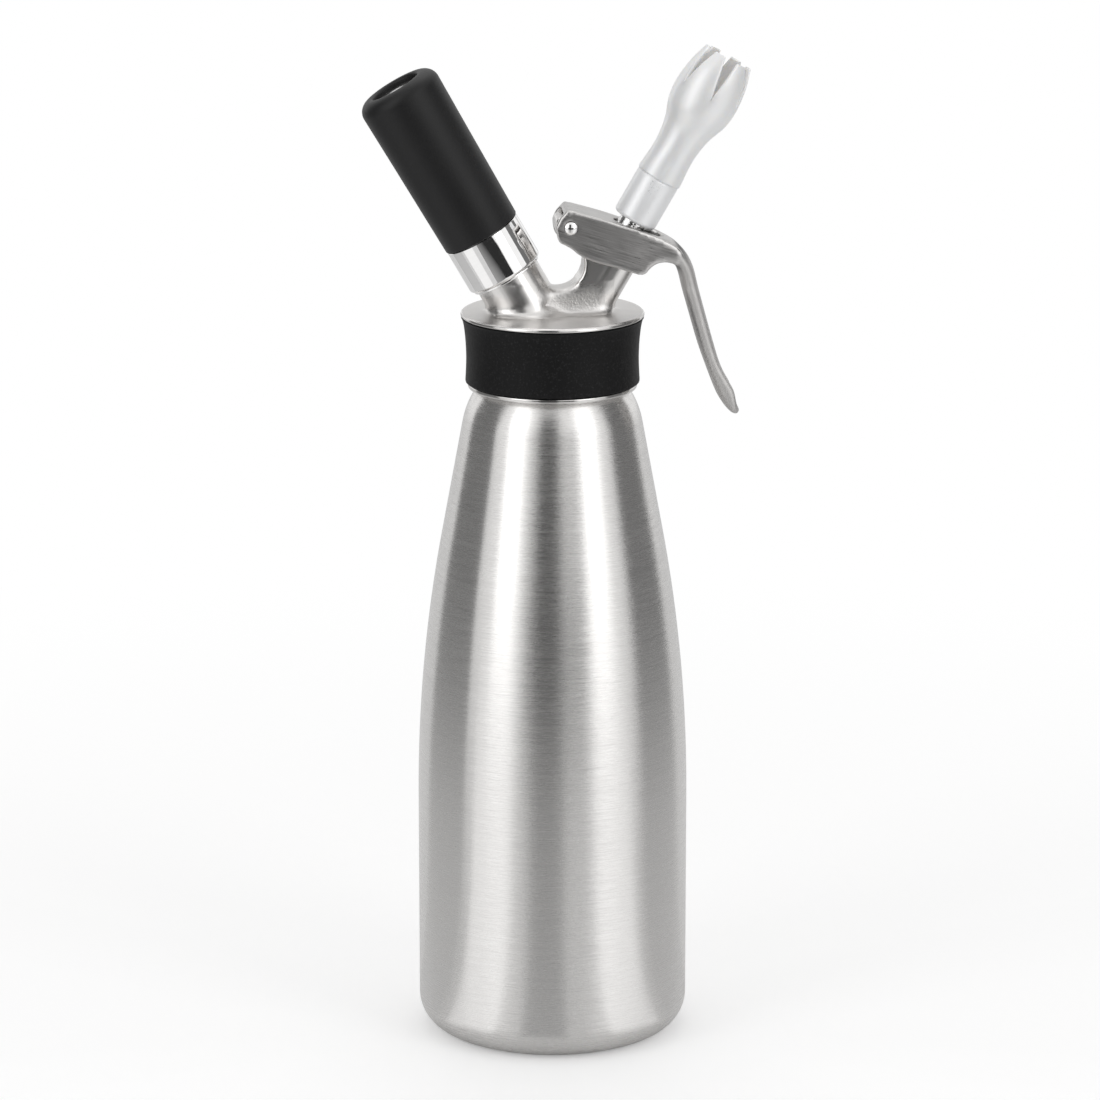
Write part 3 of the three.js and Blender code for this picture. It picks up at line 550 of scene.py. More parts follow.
bottle_section = [
    (0, RECESS), (30.5, RECESS), (31.5, 2.2), (33, 0.5), (33.8, 0), *bottle_wall(0, 10),
    (27.4, NECK_FOOT - 0.3), (NECK_RADIUS, NECK_FOOT + 0.4), (NECK_RADIUS, NECK_TOP - 0.8),
    (NECK_RADIUS - 0.3, NECK_TOP - 0.15), (NECK_RADIUS - 0.9, NECK_TOP), (25, NECK_TOP),
    (MOUTH_RADIUS, NECK_TOP - 0.4), (MOUTH_RADIUS, NECK_FOOT),
    *reversed(bottle_wall(BOTTLE_WALL, 4)), (33, 1.6), (31, RECESS + BOTTLE_WALL), (0, RECESS + BOTTLE_WALL),
]
settle(
    "bottle_shell", turned("bottle_shell", bottle_section, 160, True), UPRIGHT, "bottle",
    BOTTLE_STEEL, ["bottle"],
)

# %% [markdown]
# ## Screw threads
# The head, the holder and the nozzle all screw on, and each joint lifts its piece off, so the
# threads come into view. A thread is one ridge wound round a cylinder. Its section is a blunt
# triangle, and it rises out of the cylinder over the first half turn and sinks again at the end.


# %% Thread helper and the three threads
THREAD_STEPS = 40
THREAD_SUNK = 0.25
FOOT_SHARE = 0.36
CREST_SHARE = 0.12
PORT_RADIUS = 12.25
ADAPTER_RADIUS = 5.0


def tube(work, rings):
    """Joins closed rings of vertices one after another and caps both ends."""
    for low, high in zip(rings, rings[1:]):
        for k in range(len(low)):
            work.faces.new((low[k - 1], low[k], high[k], high[k - 1]))
    work.faces.new(rings[0])
    work.faces.new(rings[-1])


def thread(name, root, crest, pitch, bottom, turns, place, body, material, slot):
    """A ridge from a root to a crest radius that winds up from bottom."""
    total = int(turns * THREAD_STEPS)
    fade = THREAD_STEPS / 2
    sunk = root - THREAD_SUNK
    work = bmesh.new()
    rings = []
    for i in range(total + 1):
        angle = 2 * math.pi * i / THREAD_STEPS
        rise = min(1.0, i / fade, (total - i) / fade)
        top = sunk + (crest - sunk) * max(rise, 0.05)
        middle = bottom + pitch * i / THREAD_STEPS
        ring = [(sunk, -FOOT_SHARE), (top, -CREST_SHARE), (top, CREST_SHARE), (sunk, FOOT_SHARE)]
        rings.append([
            work.verts.new((r * MM * math.cos(angle), r * MM * math.sin(angle), (middle + w * pitch) * MM))
            for r, w in ring
        ])
    tube(work, rings)
    settle(name, mesh_of(name, work), place, body, material)


# Root radius, crest radius, pitch, height of the foot and number of turns
neck = (NECK_RADIUS, 27.5, 3.2, 249.5, 3.6)
port = (PORT_RADIUS, 12.52, 1.5, 35.2, 5.2)
adapter = (ADAPTER_RADIUS, 5.24, 1.0, 55.4, 14.0)
thread("neck_thread", *neck, UPRIGHT, "bottle", BOTTLE_STEEL, "bottle_steel")
thread("port_thread", *port, CHARGER_AXIS, "head", HEAD_STEEL, "cast_steel")
thread("adapter_thread", *adapter, OUTLET_AXIS, "valve", CHROME, "polished_chrome")

# %% [markdown]
# ## The head's disc and skirt
# The disc, the skirt that hides behind the silicone band and the bright bead at its foot are one
# turned body. Its top edge carries a small polished bevel. The cast bosses stand on it.


# %% Disc and skirt
SKIRT_BOTTOM = 244.9
SKIRT_BORE = 27.6
SKIRT_RADIUS = 29.7
BEAD = 0.7
BEAD_MIDDLE = 30.3
SEAT = 267.9
RIM_BOTTOM = 271.6
LIP = 31.0
disc_section = [
    (0, SEAT), (SKIRT_BORE - 0.4, SEAT), (SKIRT_BORE, SEAT - 0.4), (SKIRT_BORE, SKIRT_BOTTOM + 0.5),
    (SKIRT_BORE + 0.5, SKIRT_BOTTOM), *arc(BEAD_MIDDLE, SKIRT_BOTTOM + BEAD, BEAD, -90, 0, 5),
    *arc(BEAD_MIDDLE, SKIRT_BOTTOM + BEAD + 0.5, BEAD, 0, 90, 5), (SKIRT_RADIUS, SKIRT_BOTTOM + 1.9),
    (SKIRT_RADIUS, RIM_BOTTOM), (32.9, RIM_BOTTOM), *arc(33.2, RIM_BOTTOM + 0.4, 0.4, -90, 0, 3),
    (33.6, 272.3), (33.45, 272.65), *arc(32.75, 272.58, 0.55, 20, 90, 4), (32.3, DISC_TOP + 0.03),
    (LIP + 0.1, DISC_TOP + 0.03), (LIP, DISC_TOP - 0.07), (LIP, RIM_BOTTOM + 0.3), (0, RIM_BOTTOM + 0.3),
]
settle(
    "head_disc", turned("head_disc", disc_section, 144, True), UPRIGHT, "head",
    HEAD_STEEL, ["head_casting"],
)

# %% [markdown]
# ## Melted skins
# A casting has no sharp inner corners: metal flows round them. A melted skin imitates that. The
# solid is wrapped in a fine voxel skin, and the skin is relaxed, which turns every join into the
# small fillet that a casting has. A plain bevel can't do that where three surfaces meet.


# %% Helpers for melted skins
VOXEL = 0.42


def stand(name, mesh):
    """Puts a mesh into the scene."""
    standing = bpy.data.objects.new(name, mesh)
    bpy.context.scene.collection.objects.link(standing)
    return standing


def worked(helper, name):
    """The mesh that the helper's modifiers make. The helper goes."""
    ready = helper.evaluated_get(bpy.context.evaluated_depsgraph_get())
    mesh = bpy.data.meshes.new_from_object(ready)
    mesh.name = name
    bpy.data.objects.remove(helper)
    return mesh


def melted(source, name, passes, cuts):
    """A relaxed voxel skin over a closed mesh. Each cut is an operation and a closed mesh."""
    helper = stand(name + "_source", source)
    tools = [(operation, stand(name + "_tool", mesh)) for operation, mesh in cuts]
    for operation, tool in tools:
        cut = helper.modifiers.new(operation, "BOOLEAN")
        cut.operation, cut.solver, cut.object = operation, "EXACT", tool
    skin = helper.modifiers.new("Skin", "REMESH")
    skin.mode, skin.voxel_size = "VOXEL", VOXEL * MM
    relax = helper.modifiers.new("Relax", "SMOOTH")
    relax.factor, relax.iterations = 0.5, passes
    mesh = worked(helper, name)
    for _, tool in tools:
        bpy.data.objects.remove(tool)
    print(name, "is melted to", len(mesh.vertices), "vertices")
    return mesh


def relaxed(mesh, chosen, passes):
    """Smooths the vertices that chosen picks by their place in millimetres."""
    every_way = {"use_axis_x": True, "use_axis_y": True, "use_axis_z": True}
    work = bmesh.new()
    work.from_mesh(mesh)
    region = [vertex for vertex in work.verts if chosen(*(vertex.co / MM))]
    for _ in range(passes):
        bmesh.ops.smooth_vert(work, verts=region, factor=0.5, **every_way)
    work.to_mesh(mesh)
    work.free()


def cylinder(name, radius, low, high, sides):
    """A plain closed cylinder that serves as a cutting tool."""
    return turned(name, [(0, low), (radius, low), (radius, high), (0, high)], sides, True)


# %% [markdown]
# ## The cast bosses
# The port, web, ear and outlet boss are kept from the CAD casting, together with the middle of
# the disc that they stand on, so the metal flows from one into the other. The rim of that plate
# hides under the lip of the turned disc. Melting fills small holes a little, so the pocket of
# the check valve is cut wider first and the valve's disc stays free in it.

# %% Melted bosses
KEPT_RADIUS = 32.3
KEPT_BOTTOM = 271.3
KEPT_REACH = 48
KEPT_TOP = 335
keep_section = [
    (0, KEPT_BOTTOM), (KEPT_RADIUS, KEPT_BOTTOM), (KEPT_RADIUS, DISC_TOP + 1),
    (KEPT_REACH, DISC_TOP + 1), (KEPT_REACH, KEPT_TOP), (0, KEPT_TOP),
]
work = bmesh.new()
work.from_mesh(NODES["head_casting"].data)
boss_source = mesh_of("boss_source", work)
keep = turned("keep", keep_section, 96, True)
pocket = cylinder("pocket", radius=3.9, low=26.1, high=29.3, sides=32)
pocket.transform(CHARGER_AXIS)
boss_mesh = melted(boss_source, "head_bosses", 8, [("INTERSECT", keep), ("DIFFERENCE", pocket)])

# %% [markdown]
# ## Softer joins on the bosses
# The saddle between port and outlet flows wider than the other fillets, and the top of the hinge
# ear is ground round. Both are relaxed further, and the bores are left as they are.

# %% Relaxed bosses
PORT_CLEAR = 9
OUTLET_CLEAR = 6.2
FOOT_TOP = 285
FOOT_REACH = 22
EAR_TOP = 301
EAR_REACH = 14


def outer_foot(x, y, z):
    """The foot of the bosses and the web, without their bores."""
    from_charger_axis = x * math.cos(LEAN) + (z - CHARGER_CROSSING) * math.sin(LEAN)
    from_outlet_axis = x * math.cos(LEAN) - (z - OUTLET_CROSSING) * math.sin(LEAN)
    outside_port = math.hypot(from_charger_axis, y) > PORT_CLEAR
    outside_outlet = math.hypot(from_outlet_axis, y) > OUTLET_CLEAR
    at_foot = DISC_TOP + 0.1 < z < FOOT_TOP and abs(x) < FOOT_REACH
    return at_foot and outside_port and outside_outlet


relaxed(boss_mesh, outer_foot, 80)
relaxed(boss_mesh, lambda x, y, z: z > EAR_TOP and x < EAR_REACH, 16)
settle(
    "head_bosses", boss_mesh, UPRIGHT, "head", HEAD_STEEL, ["head_casting"], sharp=60,
)

# %% [markdown]
# ## The lever's outline
# Seen from the side, the lever is a deep channel that bends down into a strap. The outline is
# drawn with two smooth curves through a few points, in millimetres, and made into a slab as wide
# as the lever. The strap is a row of rounded sections along its own curve. Near its tip the
# sections grow thicker and their outer face sinks in the middle, which makes the thumb rest.

# %% Lever outline and strap
PIVOT = (6.0, 0.0, 305.5)
LEVER_HALF = 10.0
CHANNEL_HALF = 7.45
PLATE = 2.5
lever_top = curve_through([
    (4.9, 312.2), (16.9, 308.8), (24.1, 306.4), (31.0, 304.06), (37.6, 301.8), (43.7, 298.7), (47.5, 295.6),
], 6)
lever_bottom = curve_through([
    (43.9, 290.8), (42.6, 291.7), (39.1, 291.9), (36.4, 291.0), (33.7, 288.4), (32.0, 287.6),
    (28.1, 288.7), (22.5, 290.5), (14.2, 292.9), (9.1, 295.4), (6.3, 297.7), (4.1, 299.0),
    (1.5, 300.8), (0.7, 305.9), (2.0, 309.1),
], 5)
# Distance and height of the strap's middle, half width, half thickness, and how far the face sinks
strap_line = curve_through([
    (36.53, 299.4, 9.04, 2.52, 0), (41.78, 296.12, 9.2, 3.19, 0), (46.0, 292.9, 9.12, 2.97, 0),
    (48.5, 288.51, 8.48, 2.88, 0), (50.42, 280.9, 8, 2.86, 0), (53.5, 269.8, 8, 2.8, 0),
    (56.12, 260.63, 8.24, 2.74, 0), (58.8, 253.03, 8.64, 2.72, 0.4), (61.94, 246.8, 9.2, 3.5, 1.7),
    (64.05, 242.96, 9.6, 3.92, 2.4), (65.27, 239.33, 9.6, 3.08, 1.8), (66.36, 236.73, 8.8, 2.07, 0.7),
    (67.44, 235.36, 6.8, 1.4, 0), (68.34, 234.74, 3.6, 0.9, 0),
], 4)


def slab(name, outline, half):
    """A flat outline in the XZ plane, thickened to both sides."""
    work = bmesh.new()
    near = [work.verts.new((x * MM, -half * MM, z * MM)) for x, z in outline]
    far = [work.verts.new((x * MM, half * MM, z * MM)) for x, z in outline]
    work.faces.new(near)
    work.faces.new(reversed(far))
    for i in range(len(outline)):
        work.faces.new((near[i - 1], near[i], far[i], far[i - 1]))
    bmesh.ops.triangulate(work, faces=[face for face in work.faces if len(face.verts) > 4])
    return mesh_of(name, work)


def strap(name, line, corners):
    """Rounded sections along a line, joined and capped."""
    wide_roundness, thick_roundness = 0.62, 0.78
    work = bmesh.new()
    rings = []
    for i, (x, z, wide, thick, sunk) in enumerate(line):
        ahead, behind = line[min(i + 1, len(line) - 1)], line[max(i - 1, 0)]
        along = Vector((ahead[0] - behind[0], 0, ahead[1] - behind[1])).normalized()
        out = Vector((-along.z, 0, along.x))
        ring = []
        for k in range(corners):
            angle = 2 * math.pi * (k + 0.5) / corners
            across = math.copysign(abs(math.cos(angle)) ** wide_roundness, math.cos(angle))
            rise = math.copysign(abs(math.sin(angle)) ** thick_roundness, math.sin(angle))
            level = thick * rise - (sunk * (1 - across**2) if rise > 0 else 0)
            ring.append(work.verts.new((Vector((x, wide * across, z)) + out * level) * MM))
        rings.append(ring)
    tube(work, rings)
    return mesh_of(name, work)


print("outline points:", len(lever_top) + len(lever_bottom), "strap sections:", len(strap_line))

# %% [markdown]
# ## The lever's skin
# Slab and strap are joined, and the channel, the slot for the nozzle and the pin's hole are cut.
# Then the whole is melted into one piece.

# %% Melted lever
CHANNEL_END = 35.8
CHANNEL_BACK = -20
CHANNEL_FOOT = 280
SLOT_RADIUS = 5.6
SLOT_REACH = 6.5
SLOT_BACK = 0.9
SLOT_LEVELS = (50, 70)
PIN_PLACE = Matrix.Translation([v * MM for v in PIVOT]) @ Matrix.Rotation(math.pi / 2, 4, "X")
under_plate = [(x, z - PLATE) for x, z in lever_top if x < CHANNEL_END]
channel = [
    (CHANNEL_BACK, under_plate[0][1] + 9), *under_plate,
    (CHANNEL_END, CHANNEL_FOOT), (CHANNEL_BACK, CHANNEL_FOOT),
]
slot_outline = [
    *arc(SLOT_REACH, 0, SLOT_RADIUS, -90, 90, 12), *arc(-SLOT_BACK, 0, SLOT_RADIUS, 90, 270, 12),
]
work = bmesh.new()
slot_foot, slot_head = (
    [work.verts.new(OUTLET_AXIS @ Vector((x * MM, y * MM, level * MM))) for x, y in slot_outline]
    for level in SLOT_LEVELS
)
work.faces.new(slot_foot)
work.faces.new(slot_head)
for i in range(len(slot_outline)):
    work.faces.new((slot_foot[i - 1], slot_foot[i], slot_head[i], slot_head[i - 1]))
slot_tool = mesh_of("slot", work)
pin_tool = cylinder("pin_hole", radius=1.9, low=-15, high=15, sides=24)
pin_tool.transform(PIN_PLACE)
lever_mesh = melted(slab("slab", lever_top + lever_bottom, LEVER_HALF), "lever_arm", 5, [
    ("UNION", strap("strap", strap_line, 32)), ("DIFFERENCE", slab("channel", channel, CHANNEL_HALF)),
    ("DIFFERENCE", slot_tool), ("DIFFERENCE", pin_tool),
])

# %% [markdown]
# ## From the cheeks into the strap
# The cheeks draw in a little towards the narrower strap, so they run into its sides without an
# edge. The bend is then relaxed in regions that start further and further along it, because a
# single region would end in a visible line.

# %% Drawn in and relaxed lever
DRAWN_IN = 0.95
DRAWN_BETWEEN = (24, 44)
CHEEK_FOOT = 286
BEND_STARTS = (31, 34, 37, 40)
BEND_FOOT = 281
BEND_SIDE = 4
STRAP_START = 45
END_REACH = 7
END_FOOT = 306


def ease(value, low, high):
    """A smooth step from 0 at low to 1 at high."""
    t = min(1.0, max(0.0, (value - low) / (high - low)))
    return t * t * (3 - 2 * t)


def draw_in(mesh):
    """Draws the cheeks in towards the strap."""
    for vertex in mesh.vertices:
        x, y, z = vertex.co / MM
        if z > CHEEK_FOOT:
            limit = LEVER_HALF - DRAWN_IN * ease(x, *DRAWN_BETWEEN)
            vertex.co.y = math.copysign(min(abs(y), limit), y) * MM


draw_in(lever_mesh)
for start in BEND_STARTS:
    relaxed(lever_mesh, lambda x, y, z: x > start and z > BEND_FOOT and abs(y) > BEND_SIDE, 18)
relaxed(lever_mesh, lambda x, y, z: x > STRAP_START, 16)
relaxed(lever_mesh, lambda x, y, z: x < END_REACH and z > END_FOOT, 14)
settle(
    "lever_arm", lever_mesh, UPRIGHT, "lever", LEVER_STEEL, ["lever"], sharp=60,
)

# %% [markdown]
# ## The lever pin
# The pin's ends are domed and polished. Each dome is a shallow cap on a short collar.


# %% Pin
PIN_RADIUS = 1.75
PIN_COLLAR = 2.3
PIN_FLAT = 10.3
DOME_RADIUS = 3.64
DOME_MIDDLE = 7.7
PIN_HALF = 11.34
dome = arc(0, DOME_MIDDLE, DOME_RADIUS, 51, 90, 6)[:-1]
pin_section = [
    (0, -PIN_HALF), *[(r, -z) for r, z in reversed(dome)], (PIN_COLLAR, -PIN_FLAT - 0.02),
    (PIN_RADIUS, -PIN_FLAT), (PIN_RADIUS, PIN_FLAT), (PIN_COLLAR, PIN_FLAT + 0.02),
    *dome, (0, PIN_HALF),
]
settle(
    "pin_domed", turned("pin_domed", pin_section, 40, True), PIN_PLACE, "head",
    CHROME, ["lever_pin"],
)

# %% [markdown]
# ## The silicone band
# The band hugs the skirt, draws in slightly at its waist and flares under the disc. Its upper and
# lower edges are rounded where it leaves the mould.


# %% Band
BAND_INSIDE = 30
BAND_BOTTOM = 247.15
BAND_TOP = 271.28
band_outside = curve_through([
    (31.75, BAND_BOTTOM), (31.93, 247.6), (31.83, 249.6), (31.66, 253.5), (31.62, 257), (31.8, 261.5),
    (32.15, 265.5), (32.6, 268.6), (33.1, 270.5), (33.42, 271.0), (33.4, 271.25),
], 4)
band_section = [(BAND_INSIDE, BAND_BOTTOM), *band_outside, (BAND_INSIDE, BAND_TOP)]
settle(
    "head_band", turned("head_band", band_section, 144), UPRIGHT,
    "head", BAND_SILICONE, ["silicone_band"],
)

# %% [markdown]
# ## The charger holder
# A polished sleeve screws over the port. Above it the soft grip covers the tube that houses the
# charger, widening slightly to its round shoulder, and a bright disc lies in the opening at the
# end.


# %% Holder
SLEEVE_RADIUS = 14.4
SLEEVE_FOOT = 33.5
SLEEVE_TOP = 51.7
TUBE_RADIUS = 12.6
TUBE_TOP = 111.6
ROOM_RADIUS = 9.4
ROOM_FOOT = 45.5
ROOM_TOP = 100.7
GRIP_INSIDE = 12.9
GRIP_FOOT = 52
GRIP_WIDEST = 15.6
GRIP_CORNER = 5
sleeve_section = [
    (TUBE_RADIUS, SLEEVE_FOOT), (13.0, SLEEVE_FOOT), *arc(13.0, SLEEVE_FOOT + 0.35, 0.35, -80, 30, 4),
    (13.32, 34.3), (13.6, 34.45), *arc(SLEEVE_RADIUS - 1.2, 35.7, 1.2, -60, 0, 6),
    (SLEEVE_RADIUS, SLEEVE_TOP - 0.15), (SLEEVE_RADIUS - 0.15, SLEEVE_TOP), (TUBE_RADIUS, SLEEVE_TOP),
    (TUBE_RADIUS, TUBE_TOP), (8.8, TUBE_TOP), (8.8, TUBE_TOP - 0.6), (0, TUBE_TOP - 0.6),
    (0, ROOM_TOP), (ROOM_RADIUS, ROOM_TOP), (ROOM_RADIUS, ROOM_FOOT), (TUBE_RADIUS, ROOM_FOOT),
]
grip_section = [
    (GRIP_INSIDE, GRIP_FOOT), (14.25, GRIP_FOOT), *arc(14.25, GRIP_FOOT + 0.4, 0.4, -70, 0, 4),
    (14.9, 68), (15.2, 88), *arc(GRIP_WIDEST - GRIP_CORNER, 109.6, GRIP_CORNER, 0, 86, 14),
    *arc(10.3, 113.4, 1.15, 80, 180, 7), (9.1, 111.95), (GRIP_INSIDE, 111.9),
]
end_disc_section = [
    (0, 111.3), (8.5, 111.3), (8.5, 112.2), (8.3, 112.45), (7.9, 112.5), (7.5, 112.35), (0, 112.25),
]
for name, section, sides, open_ends, material, slot, node in (
    ("sleeve_polished", sleeve_section, 112, True, CHROME, "polished_chrome", "holder_sleeve"),
    ("grip_soft", grip_section, 112, False, GRIP_BLACK, "grip_black", "holder_grip"),
    ("end_plate", end_disc_section, 72, True, CHROME, "polished_chrome", "holder_end_disc"),
):
    settle(name, turned(name, section, sides, open_ends), CHARGER_AXIS, "holder", material, [node])

# %% [markdown]
# ## The nozzle's collar
# The collar is a plain moulded sleeve. A shallow step at its top meets the tulip, whose stem is
# plugged into it. Inside, a turned metal insert screws onto the valve's threaded adapter. Both
# are hidden until the nozzle is lifted off.


# %% Collar, insert and adapter
COLLAR_RADIUS = 8.2
COLLAR_ROUND = 1.5
COLLAR_TOP = 77.22
SEAL_SHELF = 72.6
FLANGE_RADIUS = 5.9
FLANGE_FOOT = 51.4
ADAPTER_TOP = 70.5
collar_section = [
    (6.95, 59.55), (7.1, 59.35), *arc(COLLAR_RADIUS - COLLAR_ROUND, 60.85, COLLAR_ROUND, -78, 0, 8),
    (COLLAR_RADIUS, 76.5), (8.13, 76.75), (8.05, 76.85), (8.05, COLLAR_TOP), (6.9, COLLAR_TOP),
    (6.9, SEAL_SHELF + 0.9), (5, SEAL_SHELF + 0.9), (5, SEAL_SHELF), (7.0, SEAL_SHELF),
]
insert_section = [(5.35, 60.0), (6.7, 60.0), (6.7, ADAPTER_TOP), (5.35, ADAPTER_TOP)]
adapter_section = [
    (2.2, FLANGE_FOOT), (FLANGE_RADIUS - 0.3, FLANGE_FOOT), (FLANGE_RADIUS, FLANGE_FOOT + 0.2),
    (FLANGE_RADIUS, FLANGE_FOOT + 0.6), (5.6, 52.3), (5.2, 52.6), (ADAPTER_RADIUS, 53.2),
    (ADAPTER_RADIUS, ADAPTER_TOP - 0.4), (4.6, ADAPTER_TOP), (2.3, ADAPTER_TOP),
    (2.0, ADAPTER_TOP - 0.3), (2.0, 60.7), (2.2, 60.7),
]
for name, section, sides, body, material, slot, node in (
    ("collar_moulded", collar_section, 96, "nozzle", COOL_WHITE, "cool_white", "nozzle_collar"),
    ("insert_turned", insert_section, 72, "nozzle", CHROME, "polished_chrome", "nozzle_insert"),
    ("adapter_turned", adapter_section, 72, "valve", CHROME, "polished_chrome", "valve_adapter"),
):
    settle(name, turned(name, section, sides), OUTLET_AXIS, body, material, [node])

# %% [markdown]
# ## The tulip nozzle
# The tulip is a thin bell whose mouth is split into six petals by pointed slots. Each petal is a
# strip of the bell that narrows from the slot's point to the mouth, so six strips drawn side by
# side are one tube below the slots and free petals above them. That gives clean slot walls
# without any cutting. The wall thins a little along the slots and at the mouth, which rounds the
# edges as a mould does.

# %% Tulip outline
SLOT_POINT = 112.5
SLOT_HALF = 2.65
PETALS = 6
FIRST_SLOT = math.radians(-89)
TULIP_MOUTH = 128
TULIP_WALL = 1.5
TULIP_BORE = 4.6
STEM_RADIUS = 6.6
ROUND = 0.3
tulip_line = [(STEM_RADIUS, 73.8), (STEM_RADIUS, 77.25)]
tulip_line += curve_through([
    (8.15, 77.3), (8.42, 77.7), (8.4, 79.0), (8.2, 81.9), (7.87, 85.9), (7.94, 90.5), (8.52, 95.05),
    (9.35, 98.6), (10.5, 101.65), (11.57, 104.7), (12.25, 108.75), (12.35, 112.8), (11.9, 117.4),
    (11.2, 121.4), (10.15, 125), (9.3, 127.7),
], 4)
# At the mouth a third number says how far each side of the wall has rounded in
tulip_line += [(9.22, 127.9, 0.1), (9.05, 127.99, 0.3)]
print("the tulip's outline has", len(tulip_line), "points")


# %% Tulip
def tulip():
    work = bmesh.new()
    flat, edge, spans = 0.94, 0.98, 14
    even = [-flat + 2 * flat * c / spans for c in range(spans + 1)]
    sides = [-1, -edge, *even, edge, 1]
    edge_share = {-1: 1.0, 1: 1.0, -edge: 0.3, edge: 0.3}

    def column(petal, side, inner):
        """One upright row of vertices. Side runs from -1 to 1 across the petal."""
        made = []
        for r, z, *rim in tulip_line:
            gap = SLOT_HALF * max(0.0, (z - SLOT_POINT) / (TULIP_MOUTH - SLOT_POINT))
            half = math.pi / PETALS - math.asin(gap / r)
            angle = FIRST_SLOT + (2 * petal + 1) * math.pi / PETALS + side * half
            thin = ROUND * edge_share.get(side, 0.0) * min(1.0, gap / 0.8)
            if inner:
                r = max(r + 2 * sum(rim) - TULIP_WALL, TULIP_BORE) + thin
            else:
                r -= thin
            made.append(work.verts.new((r * MM * math.cos(angle), r * MM * math.sin(angle), z * MM)))
        return made

    for petal in range(PETALS):
        grid = [(column(petal, side, False), column(petal, side, True)) for side in sides]
        for (outer_a, inner_a), (outer_b, inner_b) in zip(grid, grid[1:]):
            for j in range(len(outer_a) - 1):
                work.faces.new((outer_a[j], outer_b[j], outer_b[j + 1], outer_a[j + 1]))
                work.faces.new((inner_a[j], inner_a[j + 1], inner_b[j + 1], inner_b[j]))
            work.faces.new((outer_a[-1], outer_b[-1], inner_b[-1], inner_a[-1]))
            work.faces.new((outer_a[0], inner_a[0], inner_b[0], outer_b[0]))
        for outer, inner in (grid[0], grid[-1]):
            for j in range(len(outer) - 1):
                if outer[j + 1].co.z > SLOT_POINT * MM:
                    work.faces.new((outer[j], outer[j + 1], inner[j + 1], inner[j]))
    return mesh_of("tulip_petals", work)


settle(
    "tulip_petals", tulip(), OUTLET_AXIS, "nozzle", PEARL, ["tulip_nozzle"], sharp=60,
)

# %% [markdown]
# ## Finishes for the inner solids
# The seals, the valve, the charger and the piercing parts are right as the CAD made them. Each
# keeps its solid as it is and only gets its finish.

# %% Dress the inner solids
INNER_FINISHES = {
    "head_gasket": RED_SILICONE, "valve_seal": RED_SILICONE, "stem_o_ring": BAND_SILICONE,
    "check_valve_disc": CLEAR_SILICONE, "charger_seal": CLEAR_SILICONE,
    "nozzle_seal": CLEAR_SILICONE, "piercing_body": BRASS, "valve_guide": BRASS,
    "piercing_pin": SPRING_STEEL, "valve_stem": SPRING_STEEL, "valve_spring": SPRING_STEEL,
    "gas_charger": CHARGER_STEEL, "charger_cap": CHARGER_STEEL,
}
for node, material in INNER_FINISHES.items():
    NODES[node].data.materials.clear()
    NODES[node].data.materials.append(material)
print("dressed", len(INNER_FINISHES), "inner solids")

# %% [markdown]
# ## The table
# The dispenser stands on a plain white table. Near the bottle the table is a matt white that
# shines a little by itself, so it keeps the soft shadow. Further away it fades into plain white
# for the camera, and so it meets the backdrop without a line. Its glow lights nothing, so the
# renderer is told not to look for light there, which keeps the picture clean.


# %% Table
TABLE_RADIUS = 6.0
TABLE_GLOW = 0.3
SHADOW_FADE = (0.16, 0.7)
WHITE = (1, 1, 1, 1)


def table():
    white = Finish("table_white", Roughness=0.9, Base_Color=(0.86, 0.86, 0.86, 1))
    x, y = white.part("X"), white.part("Y")
    away = ((x * x + y * y) ** 0.5).within(*SHADOW_FADE)
    lit = Value(white, white.shader.outputs[0])
    glow = white.node("ShaderNodeEmission", {}, {"Color": WHITE, "Strength": TABLE_GLOW})
    plain = white.node("ShaderNodeEmission", {}, {"Color": WHITE, "Strength": 1.0})
    near = white.node("ShaderNodeAddShader", {}, {0: lit, 1: glow})
    shown = white.node("ShaderNodeMixShader", {}, {0: away, 1: near, 2: plain})
    seen = white.node("ShaderNodeLightPath", output="Is Camera Ray")
    white.show(white.node("ShaderNodeMixShader", {}, {0: seen, 1: lit, 2: shown}), "Material Output")
    white.material.cycles.emission_sampling = "NONE"
    work = bmesh.new()
    bmesh.ops.create_circle(work, cap_ends=True, radius=TABLE_RADIUS, segments=96)
    mesh = mesh_of("table_top", work)
    mesh.materials.append(white.material)
    stand("table_top", mesh)


table()
print("the table is", 2 * TABLE_RADIUS, "m across")

# %% [markdown]
# ## The backdrop
# The camera and the mirrors see a pure white room. At full strength such a room would flood the
# object with light from everywhere and leave no shadow, so it lights the surfaces with less.


# %% Backdrop
ROOM_LIGHT = 0.62


def backdrop():
    world = bpy.data.worlds.new("white_room")
    bpy.context.scene.world = world
    world.use_nodes = True
    room = Nodes(world.node_tree)
    shown = room.node("ShaderNodeBackground", {}, {"Color": WHITE, "Strength": 1.0})
    lighting = room.node("ShaderNodeBackground", {}, {"Color": WHITE, "Strength": ROOM_LIGHT})
    to_camera = room.node("ShaderNodeLightPath", output="Is Camera Ray")
    to_mirror = room.node("ShaderNodeLightPath", output="Is Glossy Ray")
    either = to_camera.math("MAXIMUM", to_camera, to_mirror)
    room.show(room.node("ShaderNodeMixShader", {}, {0: either, 1: lighting, 2: shown}), "World Output")


backdrop()
print("the room lights with", ROOM_LIGHT, "and shows pure white")

# %% [markdown]
# ## Lamps
# A photographer gives bright metal its shape with soft boxes: here one tall box on each side of
# the camera and one high up behind the object. All three look at the middle of the dispenser.

# %% Camera direction and lamps
VIEW_AZIMUTH = math.radians(-4.5)
VIEW_RISE = math.radians(14.15)
LAMP_AIM = Vector((0, 0, 0.2))


